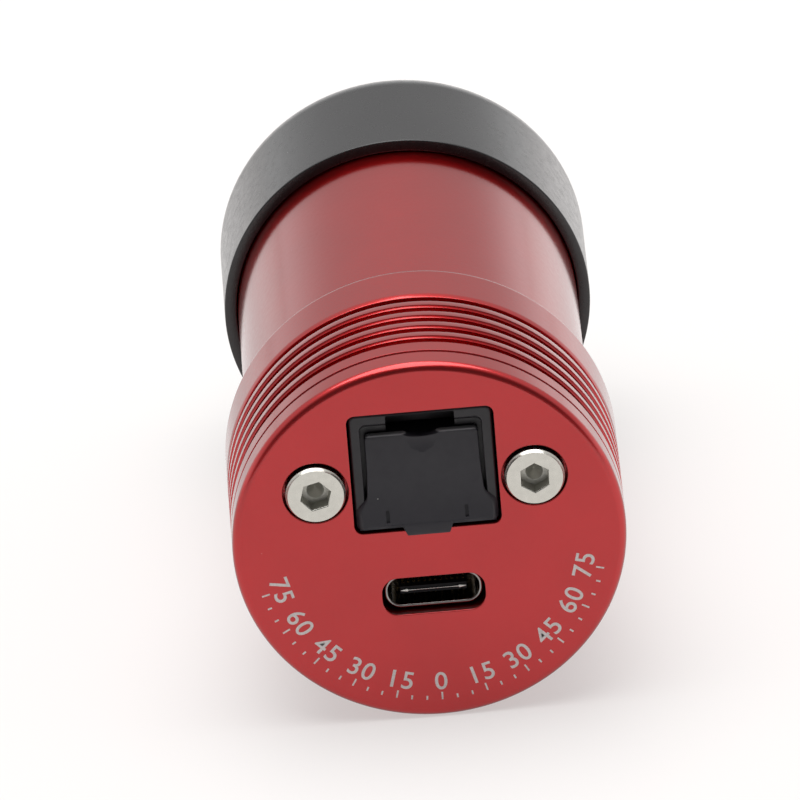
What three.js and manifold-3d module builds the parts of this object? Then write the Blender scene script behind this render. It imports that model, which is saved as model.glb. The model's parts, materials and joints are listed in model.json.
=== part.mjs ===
// Compact uncooled astronomy camera: a ribbed body with a slip-in nosepiece, a rear cover with
// a guide port and a data socket, and a dust cap pushed over the nosepiece.
// Millimetres. The optical axis runs along Y: the rear face looks along -Y, the nosepiece along +Y.
// The camera lies on its side with +Z up. Y is counted from the rear face until the last step.

import * as THREE from 'three';
import Module from 'manifold-3d';
import { mergeVertices } from 'three/addons/utils/BufferGeometryUtils.js';

const wasm = await Module();
wasm.setup();

// Gaps and overruns
const seatGap = 0.02;
const slipGap = 0.1;
const cutOverrun = 1;
const mergeDistance = 0.0005;

// Facets of turned pieces
const shellSides = 36;
const roundSides = 24;
const smallSides = 16;

// Housing and nosepiece, outside
const bodyRadius = 18;
const bodyLength = 20.34;
const noseRadius = 15.85;
const cameraLength = 61;
const seamChamfer = 0.38;
const shoulderChamfer = 0.25;
const noseChamfer = 0.4;
const grooveCount = 5;
const grooveSetback = 1.86;
const groovePitch = 2.12;
const grooveWidth = 1.35;
const grooveDepth = 0.95;

// Housing, inside
const boardBoreRadius = 15.2;
const noseBoreRadius = 9.6;
const flangeThickness = 1.8;
const apertureRadius = 6.2;
const threadRootRadius = 14.25;
const threadDepth = 0.3;
const threadPitch = 0.6;

// Rear cover
const coverThickness = 2.8;
const spigotLength = 1.6;
const rearEdgeRadius = 0.7;
const rearEdgeSteps = 3;

// Cover screws and standoffs
const screwOffsetZ = 5.85;
const screwHeadRadius = 2.75;
const screwHeadHeight = 3;
const screwHeadProud = 0.6;
const screwHeadChamfer = 0.35;
const screwShankRadius = 1.45;
const screwShankLength = 8;
const screwSocketAcrossFlats = 2.5;
const screwSocketDepth = 1.4;
const counterboreGap = 0.25;
const portWeb = 0.3;
const threadGap = 0.15;
const standoffAcrossFlats = 5;
const standoffLength = 9;
const standoffBoreDepth = 7;
const standoffStudLength = 4.6;

// Main board and what is soldered to it
const boardThickness = 1.6;
const boardEdgeGap = 0.3;
const controllerWidth = 9;
const controllerHeight = 9;
const controllerThickness = 1;
const memoryWidth = 6;
const memoryHeight = 3.6;
const memoryThickness = 0.9;
const memorySpacing = 0.7;
const crystalWidth = 3.2;
const crystalHeight = 2.5;
const crystalThickness = 0.8;
const crystalOffsetX = 10.2;
const regulatorWidth = 3;
const regulatorHeight = 3;
const regulatorThickness = 1;
const regulatorOffsetX = 10;
const smallPartDrop = 3.5;
const inductorWidth = 4;
const inductorHeight = 4;
const inductorThickness = 1.8;
const inductorOffsetX = 7;
const inductorDrop = 8.8;

// Guide jack, a vertical modular jack
const jackWidth = 13.1;
const jackHeight = 11.6;
const jackCornerRadius = 0.4;
const jackCentreZ = 7.3;
const jackRecess = 0.45;
const jackPortGap = 0.15;
const jackPortCornerRadius = 0.6;
const jackBackWall = 1.4;
const jackSideWall = 1.6;
const jackFloorWall = 1.25;
const jackTopWall = 2.35;
const mouthSideStep = 0.6;
const mouthTopStep = 0.65;
const mouthFloorStep = 0.8;
const mouthDepth = 1.3;
const latchNotchWidth = 6.3;
const latchNotchRise = 1.45;
const latchNotchDepth = 3;

// Jack contacts
const contactCount = 6;
const contactPitch = 1.02;
const contactWidth = 0.5;
const contactThickness = 0.35;
const contactSlotGap = 0.1;
const contactLift = 0.45;
const contactFoldSetback = 4.9;
const contactRise = 2.7;
const contactTipSetback = 4.5;

// Guide plug
const plugSideGap = 0.2;
const plugTopGap = 0.7;
const plugInsertDrop = 0.5;
const plugInsertLength = 3.1;
const plugTopRecess = 0.5;
const plugKneeRecess = -0.15;
const plugLowRecess = -0.8;
const plugKneeShare = 0.33;
const plugRimDrop = 0.1;
const tongueWidth = 4.8;
const tongueTipWidth = 3.7;
const tongueReach = 0.4;
const tongueThickness = 0.5;
const tongueGap = 0.3;
const thumbNotchRadius = 3.1;
const thumbNotchDrop = 0.4;
const plugGripSlotWidth = 0.45;
const plugGripSlotHeight = 1.2;
const plugGripSlotDepth = 0.3;
const plugGripSlotOffsetX = 3.6;
const plugGripSlotRise = 0.75;

// Data socket
const usbWidth = 8.94;
const usbHeight = 3.26;
const usbCornerRadius = 1.5;
const usbWall = 0.3;
const usbCentreZ = -5.4;
const usbRecess = 1.05;
const usbSlotSideGap = 0.23;
const usbSlotEndGap = 0.22;
const usbDepth = 6.2;
const usbTongueWidth = 6.1;
const usbTongueThickness = 0.7;
const usbTongueSetback = 0.3;
const usbFrameThickness = 0.25;
const usbFrameBorder = 0.45;
const usbRailWidth = 0.3;
const usbPartGap = 0.05;

// Sensor, from the sensitive plane outwards
const backFocus = 8.5;
const dieWidth = 6.6;
const dieHeight = 5.6;
const dieThickness = 0.5;
const packageWidth = 10;
const packageFloor = 1.3;
const packageCavityWidth = 7.8;
const packageRimRise = 0.2;
const sensorGlassWidth = 9.2;
const sensorGlassThickness = 0.4;
const sensorHeadroom = 0.25;
const sensorBoardThickness = 1;
const sensorBoardEdgeGap = 0.4;
const sensorScrewCircle = 7.3;
const sensorScrewCount = 3;
const sensorScrewHeadRadius = 1.7;
const sensorScrewHeadHeight = 1.3;
const sensorScrewShankRadius = 0.9;
const sensorScrewTipGap = 0.3;
const sensorScrewSlotWidth = 0.4;
const sensorScrewSlotDepth = 0.5;
const sensorSpacerRadius = 1.55;
const sensorScrewGap = 0.15;

// Ribbon cable and its sockets
const mainSocketWidth = 7;
const mainSocketHeight = 2.4;
const mainSocketThickness = 1.6;
const mainSocketDrop = 6.6;
const sensorSocketWidth = 6.6;
const sensorSocketHeight = 2.2;
const sensorSocketThickness = 1.5;
const sensorSocketDrop = 6;
const ribbonWidth = 6;
const ribbonThickness = 0.3;
const ribbonSlack = 1.5;
const ribbonWaves = 2;
const ribbonSteps = 22;

// Protective window
const windowRadius = 10.5;
const windowThickness = 1.1;
const windowSeatGap = 0.45;
const gasketThickness = 0.3;
const gasketWidth = 1.6;
const windowRingThickness = 0.8;
const windowRingWidth = 2.1;
const windowRingGap = 0.1;
const spannerSlotWidth = 1.2;
const spannerSlotDepth = 0.4;

// Dust cap
const capWall = 1.13;
const capRimSetback = 11.84;
const capHeadroom = 3.1;
const capFrontWall = 1.6;
const capFrontRadius = 4.5;
const capFrontSteps = 6;
const capRimChamfer = 0.2;

// Levels along the optical axis
const seamY = coverThickness;
const spigotY = seamY + spigotLength;
const boardRearY = spigotY + seatGap + standoffLength + seatGap;
const boardFrontY = boardRearY + boardThickness;
const boardSeatY = boardFrontY + seatGap;
const sensorPlaneY = cameraLength - backFocus;
const dieBackY = sensorPlaneY - dieThickness;
const packageCavityY = dieBackY - seatGap;
const packageBackY = packageCavityY - packageFloor;
const packageRimY = sensorPlaneY + packageRimRise;
const sensorGlassBackY = packageRimY + seatGap;
const sensorGlassFrontY = sensorGlassBackY + sensorGlassThickness;
const sensorBoardFrontY = packageBackY - seatGap;
const sensorBoardRearY = sensorBoardFrontY - sensorBoardThickness;
const flangeRearY = sensorGlassFrontY + sensorHeadroom;
const windowSeatY = flangeRearY + flangeThickness;
const gasketFrontY = windowSeatY + seatGap + gasketThickness;
const windowRearY = gasketFrontY + seatGap;
const windowFrontY = windowRearY + windowThickness;
const windowRingRearY = windowFrontY + seatGap;
const windowRingFrontY = windowRingRearY + windowRingThickness;
const filterSeatY = windowRingFrontY + seatGap;
const capRimY = cameraLength - capRimSetback;
const capFloorY = cameraLength + capHeadroom;
const capFrontY = capFloorY + capFrontWall;

// Places across the axis
const windowBoreRadius = windowRadius + windowSeatGap;
const counterboreRadius = screwHeadRadius + counterboreGap;
const screwOffsetX = jackWidth / 2 + jackPortGap + portWeb + counterboreRadius;
const shankHoleRadius = screwShankRadius + threadGap;
const capBoreRadius = noseRadius + slipGap;
const capOuterRadius = capBoreRadius + capWall;

// Finishes
const finishes = {
  redAnodised: { color: 0xb23e3e, roughness: 0.38, metalness: 0.7 },
  blackPlastic: { color: 0x26252a, roughness: 0.55, metalness: 0 },
  capPlastic: { color: 0x2b292b, roughness: 0.5, metalness: 0 },
  steel: { color: 0xd7d5cd, roughness: 0.25, metalness: 1 },
  brass: { color: 0xc9a24a, roughness: 0.35, metalness: 1 },
  gold: { color: 0xd8b35a, roughness: 0.3, metalness: 1 },
  circuitBoard: { color: 0x1d4d33, roughness: 0.5, metalness: 0 },
  chip: { color: 0x1c1c1e, roughness: 0.6, metalness: 0 },
  ceramic: { color: 0x8a8378, roughness: 0.6, metalness: 0 },
  polyimide: { color: 0xb5762a, roughness: 0.45, metalness: 0 },
  silicon: { color: 0x3a4a52, roughness: 0.15, metalness: 0.4 },
  glass: { color: 0xdfe9ee, roughness: 0.05, metalness: 0 },
  rubber: { color: 0x151515, roughness: 0.9, metalness: 0 },
  blackAnodised: { color: 0x202022, roughness: 0.45, metalness: 0.5 },
};

const camera = new THREE.Group();

function place(name, geometry, finish, x = 0, z = 0) {
  const mesh = new THREE.Mesh(geometry, new THREE.MeshStandardMaterial(finishes[finish]));
  mesh.name = name;
  mesh.position.set(x, 0, z);
  camera.add(mesh);
}

// A profile of [radius, y] points turned about Y, with a flat facet at the bottom.
// Outer walls run towards +Y and inner walls towards -Y.
function turned(profile, sides) {
  const outline = profile.map(([radius, y]) => new THREE.Vector2(radius, y));
  return new THREE.LatheGeometry(outline, sides, Math.PI / sides);
}

function turnedRing(profile, sides) {
  return turned([...profile, profile[0]], sides);
}

// An arc of [radius, y] points about a centre in the profile's plane.
function arc(centreRadius, centreY, radius, startAngle, endAngle, steps) {
  const points = [];
  for (let step = 0; step <= steps; step += 1) {
    const angle = startAngle + (endAngle - startAngle) * step / steps;
    points.push([centreRadius + radius * Math.cos(angle), centreY + radius * Math.sin(angle)]);
  }
  return points;
}

function rod(radius, startY, endY, sides) {
  const geometry = new THREE.CylinderGeometry(radius, radius, endY - startY, sides);
  geometry.translate(0, (startY + endY) / 2, 0);
  return geometry;
}

function block(width, height, startY, endY, x = 0, z = 0) {
  const geometry = new THREE.BoxGeometry(width, endY - startY, height);
  geometry.translate(x, (startY + endY) / 2, z);
  return geometry;
}

function roundedRectangle(width, height, radius, path = new THREE.Shape()) {
  const right = width / 2;
  const top = height / 2;
  path.moveTo(right - radius, -top);
  path.absarc(right - radius, radius - top, radius, -Math.PI / 2, 0, false);
  path.absarc(right - radius, top - radius, radius, 0, Math.PI / 2, false);
  path.absarc(radius - right, top - radius, radius, Math.PI / 2, Math.PI, false);
  path.absarc(radius - right, radius - top, radius, Math.PI, Math.PI * 3 / 2, false);
  path.closePath();
  return path;
}

function regularPolygon(acrossFlats, sides) {
  const radius = acrossFlats / 2 / Math.cos(Math.PI / sides);
  const points = [];
  for (let corner = 0; corner < sides; corner += 1) {
    const angle = Math.PI / 2 + 2 * Math.PI * corner / sides;
    points.push(new THREE.Vector2(radius * Math.cos(angle), radius * Math.sin(angle)));
  }
  return new THREE.Shape(points);
}

// A shape drawn in X and Z, drawn out along Y.
function prism(shape, startY, endY, curveSegments = 4) {
  const options = { depth: endY - startY, bevelEnabled: false, curveSegments };
  const geometry = new THREE.ExtrudeGeometry(shape, options);
  const alongX = new THREE.Vector3(1, 0, 0);
  const alongZ = new THREE.Vector3(0, 0, 1);
  const backwards = new THREE.Vector3(0, -1, 0);
  geometry.applyMatrix4(new THREE.Matrix4().makeBasis(alongX, alongZ, backwards));
  geometry.translate(0, endY, 0);
  return geometry;
}

// A side profile of [y, z] points, drawn out along X and centred on x = 0.
function sideProfile(points, width) {
  const shape = new THREE.Shape(points.map(([y, z]) => new THREE.Vector2(y, z)));
  const geometry = new THREE.ExtrudeGeometry(shape, { depth: width, bevelEnabled: false });
  const alongX = new THREE.Vector3(1, 0, 0);
  const alongY = new THREE.Vector3(0, 1, 0);
  const alongZ = new THREE.Vector3(0, 0, 1);
  geometry.applyMatrix4(new THREE.Matrix4().makeBasis(alongY, alongZ, alongX));
  geometry.translate(-width / 2, 0, 0);
  return geometry;
}

function toSolid(geometry) {
  const bare = geometry.clone();
  bare.deleteAttribute('normal');
  bare.deleteAttribute('uv');
  const merged = mergeVertices(bare, mergeDistance);
  const corners = merged.index.array;
  const triangles = [];
  for (let start = 0; start < corners.length; start += 3) {
    const [a, b, c] = corners.slice(start, start + 3);
    if (a !== b && b !== c && c !== a) triangles.push(a, b, c);
  }
  const vertProperties = new Float32Array(merged.attributes.position.array);
  const triVerts = new Uint32Array(triangles);
  return new wasm.Manifold(new wasm.Mesh({ numProp: 3, vertProperties, triVerts }));
}

function toGeometry(solid) {
  const { vertProperties, triVerts, numProp } = solid.getMesh();
  const geometry = new THREE.BufferGeometry();
  geometry.setAttribute('position', new THREE.BufferAttribute(vertProperties, numProp));
  geometry.setIndex(new THREE.BufferAttribute(triVerts, 1));
  geometry.computeVertexNormals();
  return geometry;
}

// Joins and cuts: one geometry from a base, what is added to it and what is taken away.
function shaped(base, added, removed) {
  let solid = toSolid(base);
  for (const geometry of added) solid = solid.add(toSolid(geometry));
  for (const geometry of removed) solid = solid.subtract(toSolid(geometry));
  return toGeometry(solid);
}

// The two cover screws sit left and right of the guide port.
const screwPlaces = [
  { side: 'left', x: -screwOffsetX },
  { side: 'right', x: screwOffsetX },
];

function sensorScrewPlaces() {
  const places = [];
  for (let index = 0; index < sensorScrewCount; index += 1) {
    const angle = Math.PI * index / (sensorScrewCount - 1);
    const x = sensorScrewCircle * Math.cos(angle);
    const z = sensorScrewCircle * Math.sin(angle);
    places.push({ number: index + 1, x, z });
  }
  return places;
}

function housingGrooves() {
  const points = [];
  const rootRadius = bodyRadius - grooveDepth;
  for (let index = 0; index < grooveCount; index += 1) {
    const startY = seamY + grooveSetback + groovePitch * index;
    points.push([bodyRadius, startY], [rootRadius, startY]);
    points.push([rootRadius, startY + grooveWidth], [bodyRadius, startY + grooveWidth]);
  }
  return points;
}

// The filter thread is a row of plain ridges, listed from the front end inwards.
function filterThread() {
  const crestRadius = threadRootRadius - threadDepth;
  const turns = Math.floor((cameraLength - filterSeatY) / threadPitch - 1 / 2);
  const points = [[threadRootRadius, cameraLength]];
  for (let turn = 0; turn < turns; turn += 1) {
    const rootY = cameraLength - threadPitch * (turn + 1);
    points.push([crestRadius, rootY + threadPitch / 2], [threadRootRadius, rootY]);
  }
  points.push([crestRadius, cameraLength - threadPitch * (turns + 1 / 2)]);
  points.push([crestRadius, filterSeatY]);
  return points;
}

function makeHousing() {
  const rearY = seamY + seatGap;
  const profile = [
    [bodyRadius - seamChamfer, rearY],
    [bodyRadius, rearY + seamChamfer],
    ...housingGrooves(),
    [bodyRadius, bodyLength - shoulderChamfer],
    [bodyRadius - shoulderChamfer, bodyLength],
    [noseRadius, bodyLength],
    [noseRadius, cameraLength - noseChamfer],
    [noseRadius - noseChamfer, cameraLength],
    ...filterThread(),
    [windowBoreRadius, filterSeatY],
    [windowBoreRadius, windowSeatY],
    [apertureRadius, windowSeatY],
    [apertureRadius, flangeRearY],
    [noseBoreRadius, flangeRearY],
    [noseBoreRadius, boardSeatY],
    [boardBoreRadius, boardSeatY],
    [boardBoreRadius, rearY],
  ];
  const holes = [];
  for (const { x } of screwPlaces) {
    const endY = boardFrontY + standoffStudLength + cutOverrun;
    const hole = rod(shankHoleRadius, boardSeatY - cutOverrun, endY, smallSides);
    holes.push(hole.translate(x, 0, screwOffsetZ));
  }
  for (const { x, z } of sensorScrewPlaces()) {
    const radius = sensorScrewShankRadius + sensorScrewGap;
    const startY = flangeRearY - cutOverrun;
    holes.push(rod(radius, startY, windowSeatY + seatGap, smallSides).translate(x, 0, z));
  }
  place('housing', shaped(turnedRing(profile, shellSides), [], holes), 'redAnodised');
}

function makeRearCover() {
  const spigotRadius = boardBoreRadius - slipGap;
  const edgeCentre = bodyRadius - rearEdgeRadius;
  const profile = [
    [0, 0],
    ...arc(edgeCentre, rearEdgeRadius, rearEdgeRadius, -Math.PI / 2, 0, rearEdgeSteps),
    [bodyRadius, seamY - seamChamfer],
    [bodyRadius - seamChamfer, seamY],
    [spigotRadius, seamY],
    [spigotRadius, spigotY],
    [0, spigotY],
  ];
  const startY = -cutOverrun;
  const endY = spigotY + cutOverrun;
  const port = roundedRectangle(
    jackWidth + 2 * jackPortGap, jackHeight + 2 * jackPortGap, jackPortCornerRadius);
  const slot = roundedRectangle(
    usbWidth + 2 * usbSlotSideGap, usbHeight + 2 * usbSlotEndGap, usbCornerRadius);
  const cuts = [
    prism(port, startY, endY).translate(0, 0, jackCentreZ),
    prism(slot, startY, endY).translate(0, 0, usbCentreZ),
  ];
  for (const { x } of screwPlaces) {
    const counterboreY = screwHeadHeight - screwHeadProud + seatGap;
    const counterbore = rod(counterboreRadius, startY, counterboreY, roundSides);
    const hole = rod(shankHoleRadius, startY, endY, smallSides);
    cuts.push(counterbore.translate(x, 0, screwOffsetZ), hole.translate(x, 0, screwOffsetZ));
  }
  place('rear_cover', shaped(turned(profile, shellSides), [], cuts), 'redAnodised');
}

function makeCoverScrews() {
  const headRearY = -screwHeadProud;
  const headFrontY = headRearY + screwHeadHeight;
  const profile = [
    [0, headRearY],
    [screwHeadRadius - screwHeadChamfer, headRearY],
    [screwHeadRadius, headRearY + screwHeadChamfer],
    [screwHeadRadius, headFrontY],
    [screwShankRadius, headFrontY],
    [screwShankRadius, headFrontY + screwShankLength],
    [0, headFrontY + screwShankLength],
  ];
  const socket = regularPolygon(screwSocketAcrossFlats, 6);
  for (const { side, x } of screwPlaces) {
    const recess = prism(socket, headRearY - cutOverrun, headRearY + screwSocketDepth);
    const screw = shaped(turned(profile, roundSides), [], [recess]);
    place(`cover_screw_${side}`, screw, 'steel', x, screwOffsetZ);
  }
}

function makeStandoffs() {
  const rearY = spigotY + seatGap;
  const frontY = rearY + standoffLength;
  for (const { side, x } of screwPlaces) {
    const hex = prism(regularPolygon(standoffAcrossFlats, 6), rearY, frontY);
    const studEndY = boardFrontY + standoffStudLength;
    const stud = rod(screwShankRadius, frontY - cutOverrun, studEndY, smallSides);
    const bore = rod(shankHoleRadius, rearY - cutOverrun, rearY + standoffBoreDepth, smallSides);
    place(`standoff_${side}`, shaped(hex, [stud], [bore]), 'brass', x, screwOffsetZ);
  }
}

function makeMainBoard() {
  const disc = rod(boardBoreRadius - boardEdgeGap, boardRearY, boardFrontY, shellSides);
  const holes = screwPlaces.map(({ x }) => {
    const hole = rod(shankHoleRadius, boardRearY - cutOverrun, boardFrontY + cutOverrun, smallSides);
    return hole.translate(x, 0, screwOffsetZ);
  });
  place('main_board', shaped(disc, [], holes), 'circuitBoard');
}

// A flat part on the front of the main board, inside the nosepiece's bore.
function frontPart(name, width, height, thickness, z, finish) {
  const startY = boardFrontY + seatGap;
  place(name, block(width, height, startY, startY + thickness), finish, 0, z);
}

// A flat part on the rear of the main board, between the sockets and the wall.
function rearPart(name, width, height, thickness, x, z, finish) {
  const endY = boardRearY - seatGap;
  place(name, block(width, height, endY - thickness, endY), finish, x, z);
}

function makeBoardParts() {
  const memoryZ = controllerHeight / 2 + memorySpacing + memoryHeight / 2;
  frontPart('usb_controller', controllerWidth, controllerHeight, controllerThickness, 0, 'chip');
  frontPart('frame_memory', memoryWidth, memoryHeight, memoryThickness, memoryZ, 'chip');
  frontPart('main_flex_socket', mainSocketWidth, mainSocketHeight, mainSocketThickness,
    -mainSocketDrop, 'blackPlastic');
  rearPart('clock_crystal', crystalWidth, crystalHeight, crystalThickness,
    -crystalOffsetX, -smallPartDrop, 'steel');
  rearPart('voltage_regulator', regulatorWidth, regulatorHeight, regulatorThickness,
    regulatorOffsetX, -smallPartDrop, 'chip');
  rearPart('power_inductor', inductorWidth, inductorHeight, inductorThickness,
    -inductorOffsetX, -inductorDrop, 'ceramic');
}

// Walls of the jack's cavity, which the contacts and the plug follow.
const cavity = {
  width: jackWidth - 2 * jackSideWall,
  floorZ: jackCentreZ - jackHeight / 2 + jackFloorWall,
  topZ: jackCentreZ + jackHeight / 2 - jackTopWall,
  endY: boardRearY - seatGap - jackBackWall,
};
const mouth = {
  width: cavity.width + 2 * mouthSideStep,
  floorZ: cavity.floorZ - mouthFloorStep,
  topZ: cavity.topZ + mouthTopStep,
  floorY: jackRecess + mouthDepth,
};

function spanBlock(width, lowZ, highZ, startY, endY, x = 0) {
  return block(width, highZ - lowZ, startY, endY, x, (lowZ + highZ) / 2);
}

function contactX(index) {
  return contactPitch * (index - (contactCount - 1) / 2);
}

function makeGuideJack() {
  const outline = roundedRectangle(jackWidth, jackHeight, jackCornerRadius);
  const frontY = boardRearY - seatGap;
  const body = prism(outline, jackRecess, frontY).translate(0, 0, jackCentreZ);
  const openY = jackRecess - cutOverrun;
  const notchTopZ = mouth.topZ + latchNotchRise;
  const cuts = [
    spanBlock(mouth.width, mouth.floorZ, mouth.topZ, openY, mouth.floorY),
    spanBlock(cavity.width, cavity.floorZ, cavity.topZ, openY, cavity.endY),
    spanBlock(latchNotchWidth, cavity.floorZ, notchTopZ, openY, jackRecess + latchNotchDepth),
  ];
  const slotWidth = contactWidth + 2 * contactSlotGap;
  const slotLowZ = cavity.floorZ + contactLift - contactThickness / 2 - contactSlotGap;
  const slotHighZ = cavity.floorZ + contactLift + contactThickness / 2 + contactSlotGap;
  for (let index = 0; index < contactCount; index += 1) {
    cuts.push(spanBlock(slotWidth, slotLowZ, slotHighZ, cavity.endY - cutOverrun,
      frontY + cutOverrun, contactX(index)));
  }
  place('guide_jack', shaped(body, [], cuts), 'blackPlastic');
}

// Each contact runs from the board along the cavity's floor and folds back into a spring.
function makeJackContacts() {
  const half = contactThickness / 2;
  const railZ = cavity.floorZ + contactLift;
  const tailY = boardRearY - seatGap;
  const foldY = jackRecess + contactFoldSetback;
  const tipY = foldY + contactTipSetback;
  const tipZ = railZ + contactRise;
  const outline = [
    [tailY, railZ - half],
    [foldY, railZ - half],
    [foldY - half, railZ],
    [foldY, railZ + half],
    [tipY, tipZ + half],
    [tipY + half, tipZ],
    [tipY, tipZ - half],
    [foldY + contactThickness * 2, railZ + half],
    [tailY, railZ + half],
  ];
  for (let index = 0; index < contactCount; index += 1) {
    place(`jack_contact_${index + 1}`, sideProfile(outline, contactWidth), 'gold', contactX(index));
  }
}

// The plug's face leans: its top sits back in the jack's mouth and its foot stands proud of the cover.
function makeGuidePlug() {
  const topZ = mouth.topZ - plugTopGap;
  const shelfZ = mouth.floorZ + plugSideGap;
  const jackFootZ = jackCentreZ - jackHeight / 2;
  const portFootZ = jackFootZ - jackPortGap;
  const footZ = jackFootZ + plugRimDrop;
  const kneeZ = footZ + (topZ - footZ) * plugKneeShare;
  const backY = mouth.floorY - plugSideGap;
  const rimBackY = jackRecess - plugSideGap;
  const topY = jackRecess + plugTopRecess;
  const kneeY = jackRecess + plugKneeRecess;
  const lowY = jackRecess + plugLowRecess;
  const tipZ = portFootZ - tongueReach;
  const tipBackY = -tongueGap;
  const tipFaceY = tipBackY - tongueThickness;
  const faceWidth = mouth.width - 2 * plugSideGap;
  const flange = sideProfile([
    [backY, topZ], [topY, topZ], [kneeY, kneeZ], [lowY, footZ],
    [rimBackY, footZ], [rimBackY, shelfZ], [backY, shelfZ],
  ], faceWidth);
  const tongueShape = new THREE.Shape([
    new THREE.Vector2(-tongueWidth / 2, footZ + tongueReach),
    new THREE.Vector2(-tongueWidth / 2, portFootZ),
    new THREE.Vector2(-tongueTipWidth / 2, tipZ),
    new THREE.Vector2(tongueTipWidth / 2, tipZ),
    new THREE.Vector2(tongueWidth / 2, portFootZ),
    new THREE.Vector2(tongueWidth / 2, footZ + tongueReach),
  ]);
  const tongue = prism(tongueShape, tipFaceY, tipBackY);
  const insertWidth = cavity.width - 2 * plugSideGap;
  const insert = spanBlock(insertWidth, cavity.floorZ + plugSideGap, topZ - plugInsertDrop,
    topY + plugSideGap, backY + plugInsertLength);
  const thumbZ = topZ + thumbNotchRadius - thumbNotchDrop;
  const thumb = rod(thumbNotchRadius, lowY - cutOverrun, backY + seatGap, roundSides);
  const cuts = [thumb.translate(0, 0, thumbZ)];
  for (const x of [-plugGripSlotOffsetX, plugGripSlotOffsetX]) {
    const lowZ = footZ + plugGripSlotRise;
    const highZ = lowZ + plugGripSlotHeight;
    const slotFloorY = kneeY + plugGripSlotDepth;
    cuts.push(spanBlock(plugGripSlotWidth, lowZ, highZ, lowY - cutOverrun, slotFloorY, x));
  }
  place('guide_plug', shaped(flange, [tongue, insert], cuts), 'blackPlastic');
}

const usb = {
  mouthY: usbRecess,
  endY: boardRearY - seatGap,
  blockY: usbRecess + usbDepth,
  innerWidth: usbWidth - 2 * usbWall,
  innerHeight: usbHeight - 2 * usbWall,
  innerRadius: usbCornerRadius - usbWall,
};

function makeUsbSocket() {
  const shell = roundedRectangle(usbWidth, usbHeight, usbCornerRadius);
  const bore = roundedRectangle(usb.innerWidth, usb.innerHeight, usb.innerRadius, new THREE.Path());
  shell.holes.push(bore);
  place('usb_shell', prism(shell, usb.mouthY, usb.endY, 6), 'steel', 0, usbCentreZ);

  const core = roundedRectangle(
    usb.innerWidth - 2 * usbPartGap, usb.innerHeight - 2 * usbPartGap, usb.innerRadius - usbPartGap);
  const tongueY = usb.mouthY + usbTongueSetback;
  const tongue = block(usbTongueWidth, usbTongueThickness, tongueY, usb.blockY + cutOverrun);
  const insulator = shaped(prism(core, usb.blockY, usb.endY, 6), [tongue], []);
  place('usb_insulator', insulator, 'blackPlastic', 0, usbCentreZ);

  const frameFrontY = usb.blockY - usbPartGap;
  const frameRearY = frameFrontY - usbFrameThickness;
  const holeWidth = usbTongueWidth + 2 * usbPartGap;
  const holeHeight = usbTongueThickness + 2 * usbPartGap;
  const frame = block(holeWidth + 2 * usbFrameBorder, holeHeight + 2 * usbFrameBorder,
    frameRearY, frameFrontY);
  const hole = block(holeWidth, holeHeight, frameRearY - cutOverrun, frameFrontY + cutOverrun);
  const railX = (holeWidth + usbRailWidth) / 2;
  const rails = [-railX, railX].map((x) => {
    return block(usbRailWidth, usbTongueThickness, tongueY, frameFrontY, x);
  });
  place('usb_ground_frame', shaped(frame, rails, [hole]), 'steel', 0, usbCentreZ);
}

function makeSensor() {
  const outline = roundedRectangle(packageWidth, packageWidth, packageRimRise);
  const well = block(packageCavityWidth, packageCavityWidth, packageCavityY, packageRimY + cutOverrun);
  place('sensor_package', shaped(prism(outline, packageBackY, packageRimY, 1), [], [well]), 'ceramic');
  place('sensor_die', block(dieWidth, dieHeight, dieBackY, sensorPlaneY), 'silicon');
  const glass = block(sensorGlassWidth, sensorGlassWidth, sensorGlassBackY, sensorGlassFrontY);
  place('sensor_glass', glass, 'glass');
}

function makeSensorBoard() {
  const startY = sensorBoardRearY - cutOverrun;
  const boardRadius = noseBoreRadius - sensorBoardEdgeGap;
  const disc = rod(boardRadius, sensorBoardRearY, sensorBoardFrontY, shellSides);
  const holeRadius = sensorScrewShankRadius + sensorScrewGap;
  const holes = sensorScrewPlaces().map(({ x, z }) => {
    const hole = rod(holeRadius, startY, sensorBoardFrontY + cutOverrun, smallSides);
    return hole.translate(x, 0, z);
  });
  place('sensor_board', shaped(disc, [], holes), 'circuitBoard');
  for (const { number, x, z } of sensorScrewPlaces()) {
    const spacer = turnedRing([
      [sensorSpacerRadius, sensorBoardFrontY + seatGap],
      [sensorSpacerRadius, flangeRearY - seatGap],
      [holeRadius, flangeRearY - seatGap],
      [holeRadius, sensorBoardFrontY + seatGap],
    ], smallSides);
    place(`sensor_spacer_${number}`, spacer, 'brass', x, z);
    const headFrontY = sensorBoardRearY - seatGap;
    const headRearY = headFrontY - sensorScrewHeadHeight;
    const screw = turned([
      [0, headRearY],
      [sensorScrewHeadRadius, headRearY],
      [sensorScrewHeadRadius, headFrontY],
      [sensorScrewShankRadius, headFrontY],
      [sensorScrewShankRadius, windowSeatY - sensorScrewTipGap],
      [0, windowSeatY - sensorScrewTipGap],
    ], smallSides);
    const slotLength = 2 * sensorScrewHeadRadius + cutOverrun;
    const slotFloorY = headRearY + sensorScrewSlotDepth;
    const slot = block(slotLength, sensorScrewSlotWidth, headRearY - cutOverrun, slotFloorY);
    place(`sensor_screw_${number}`, shaped(screw, [], [slot]), 'steel', x, z);
  }
}

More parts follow.
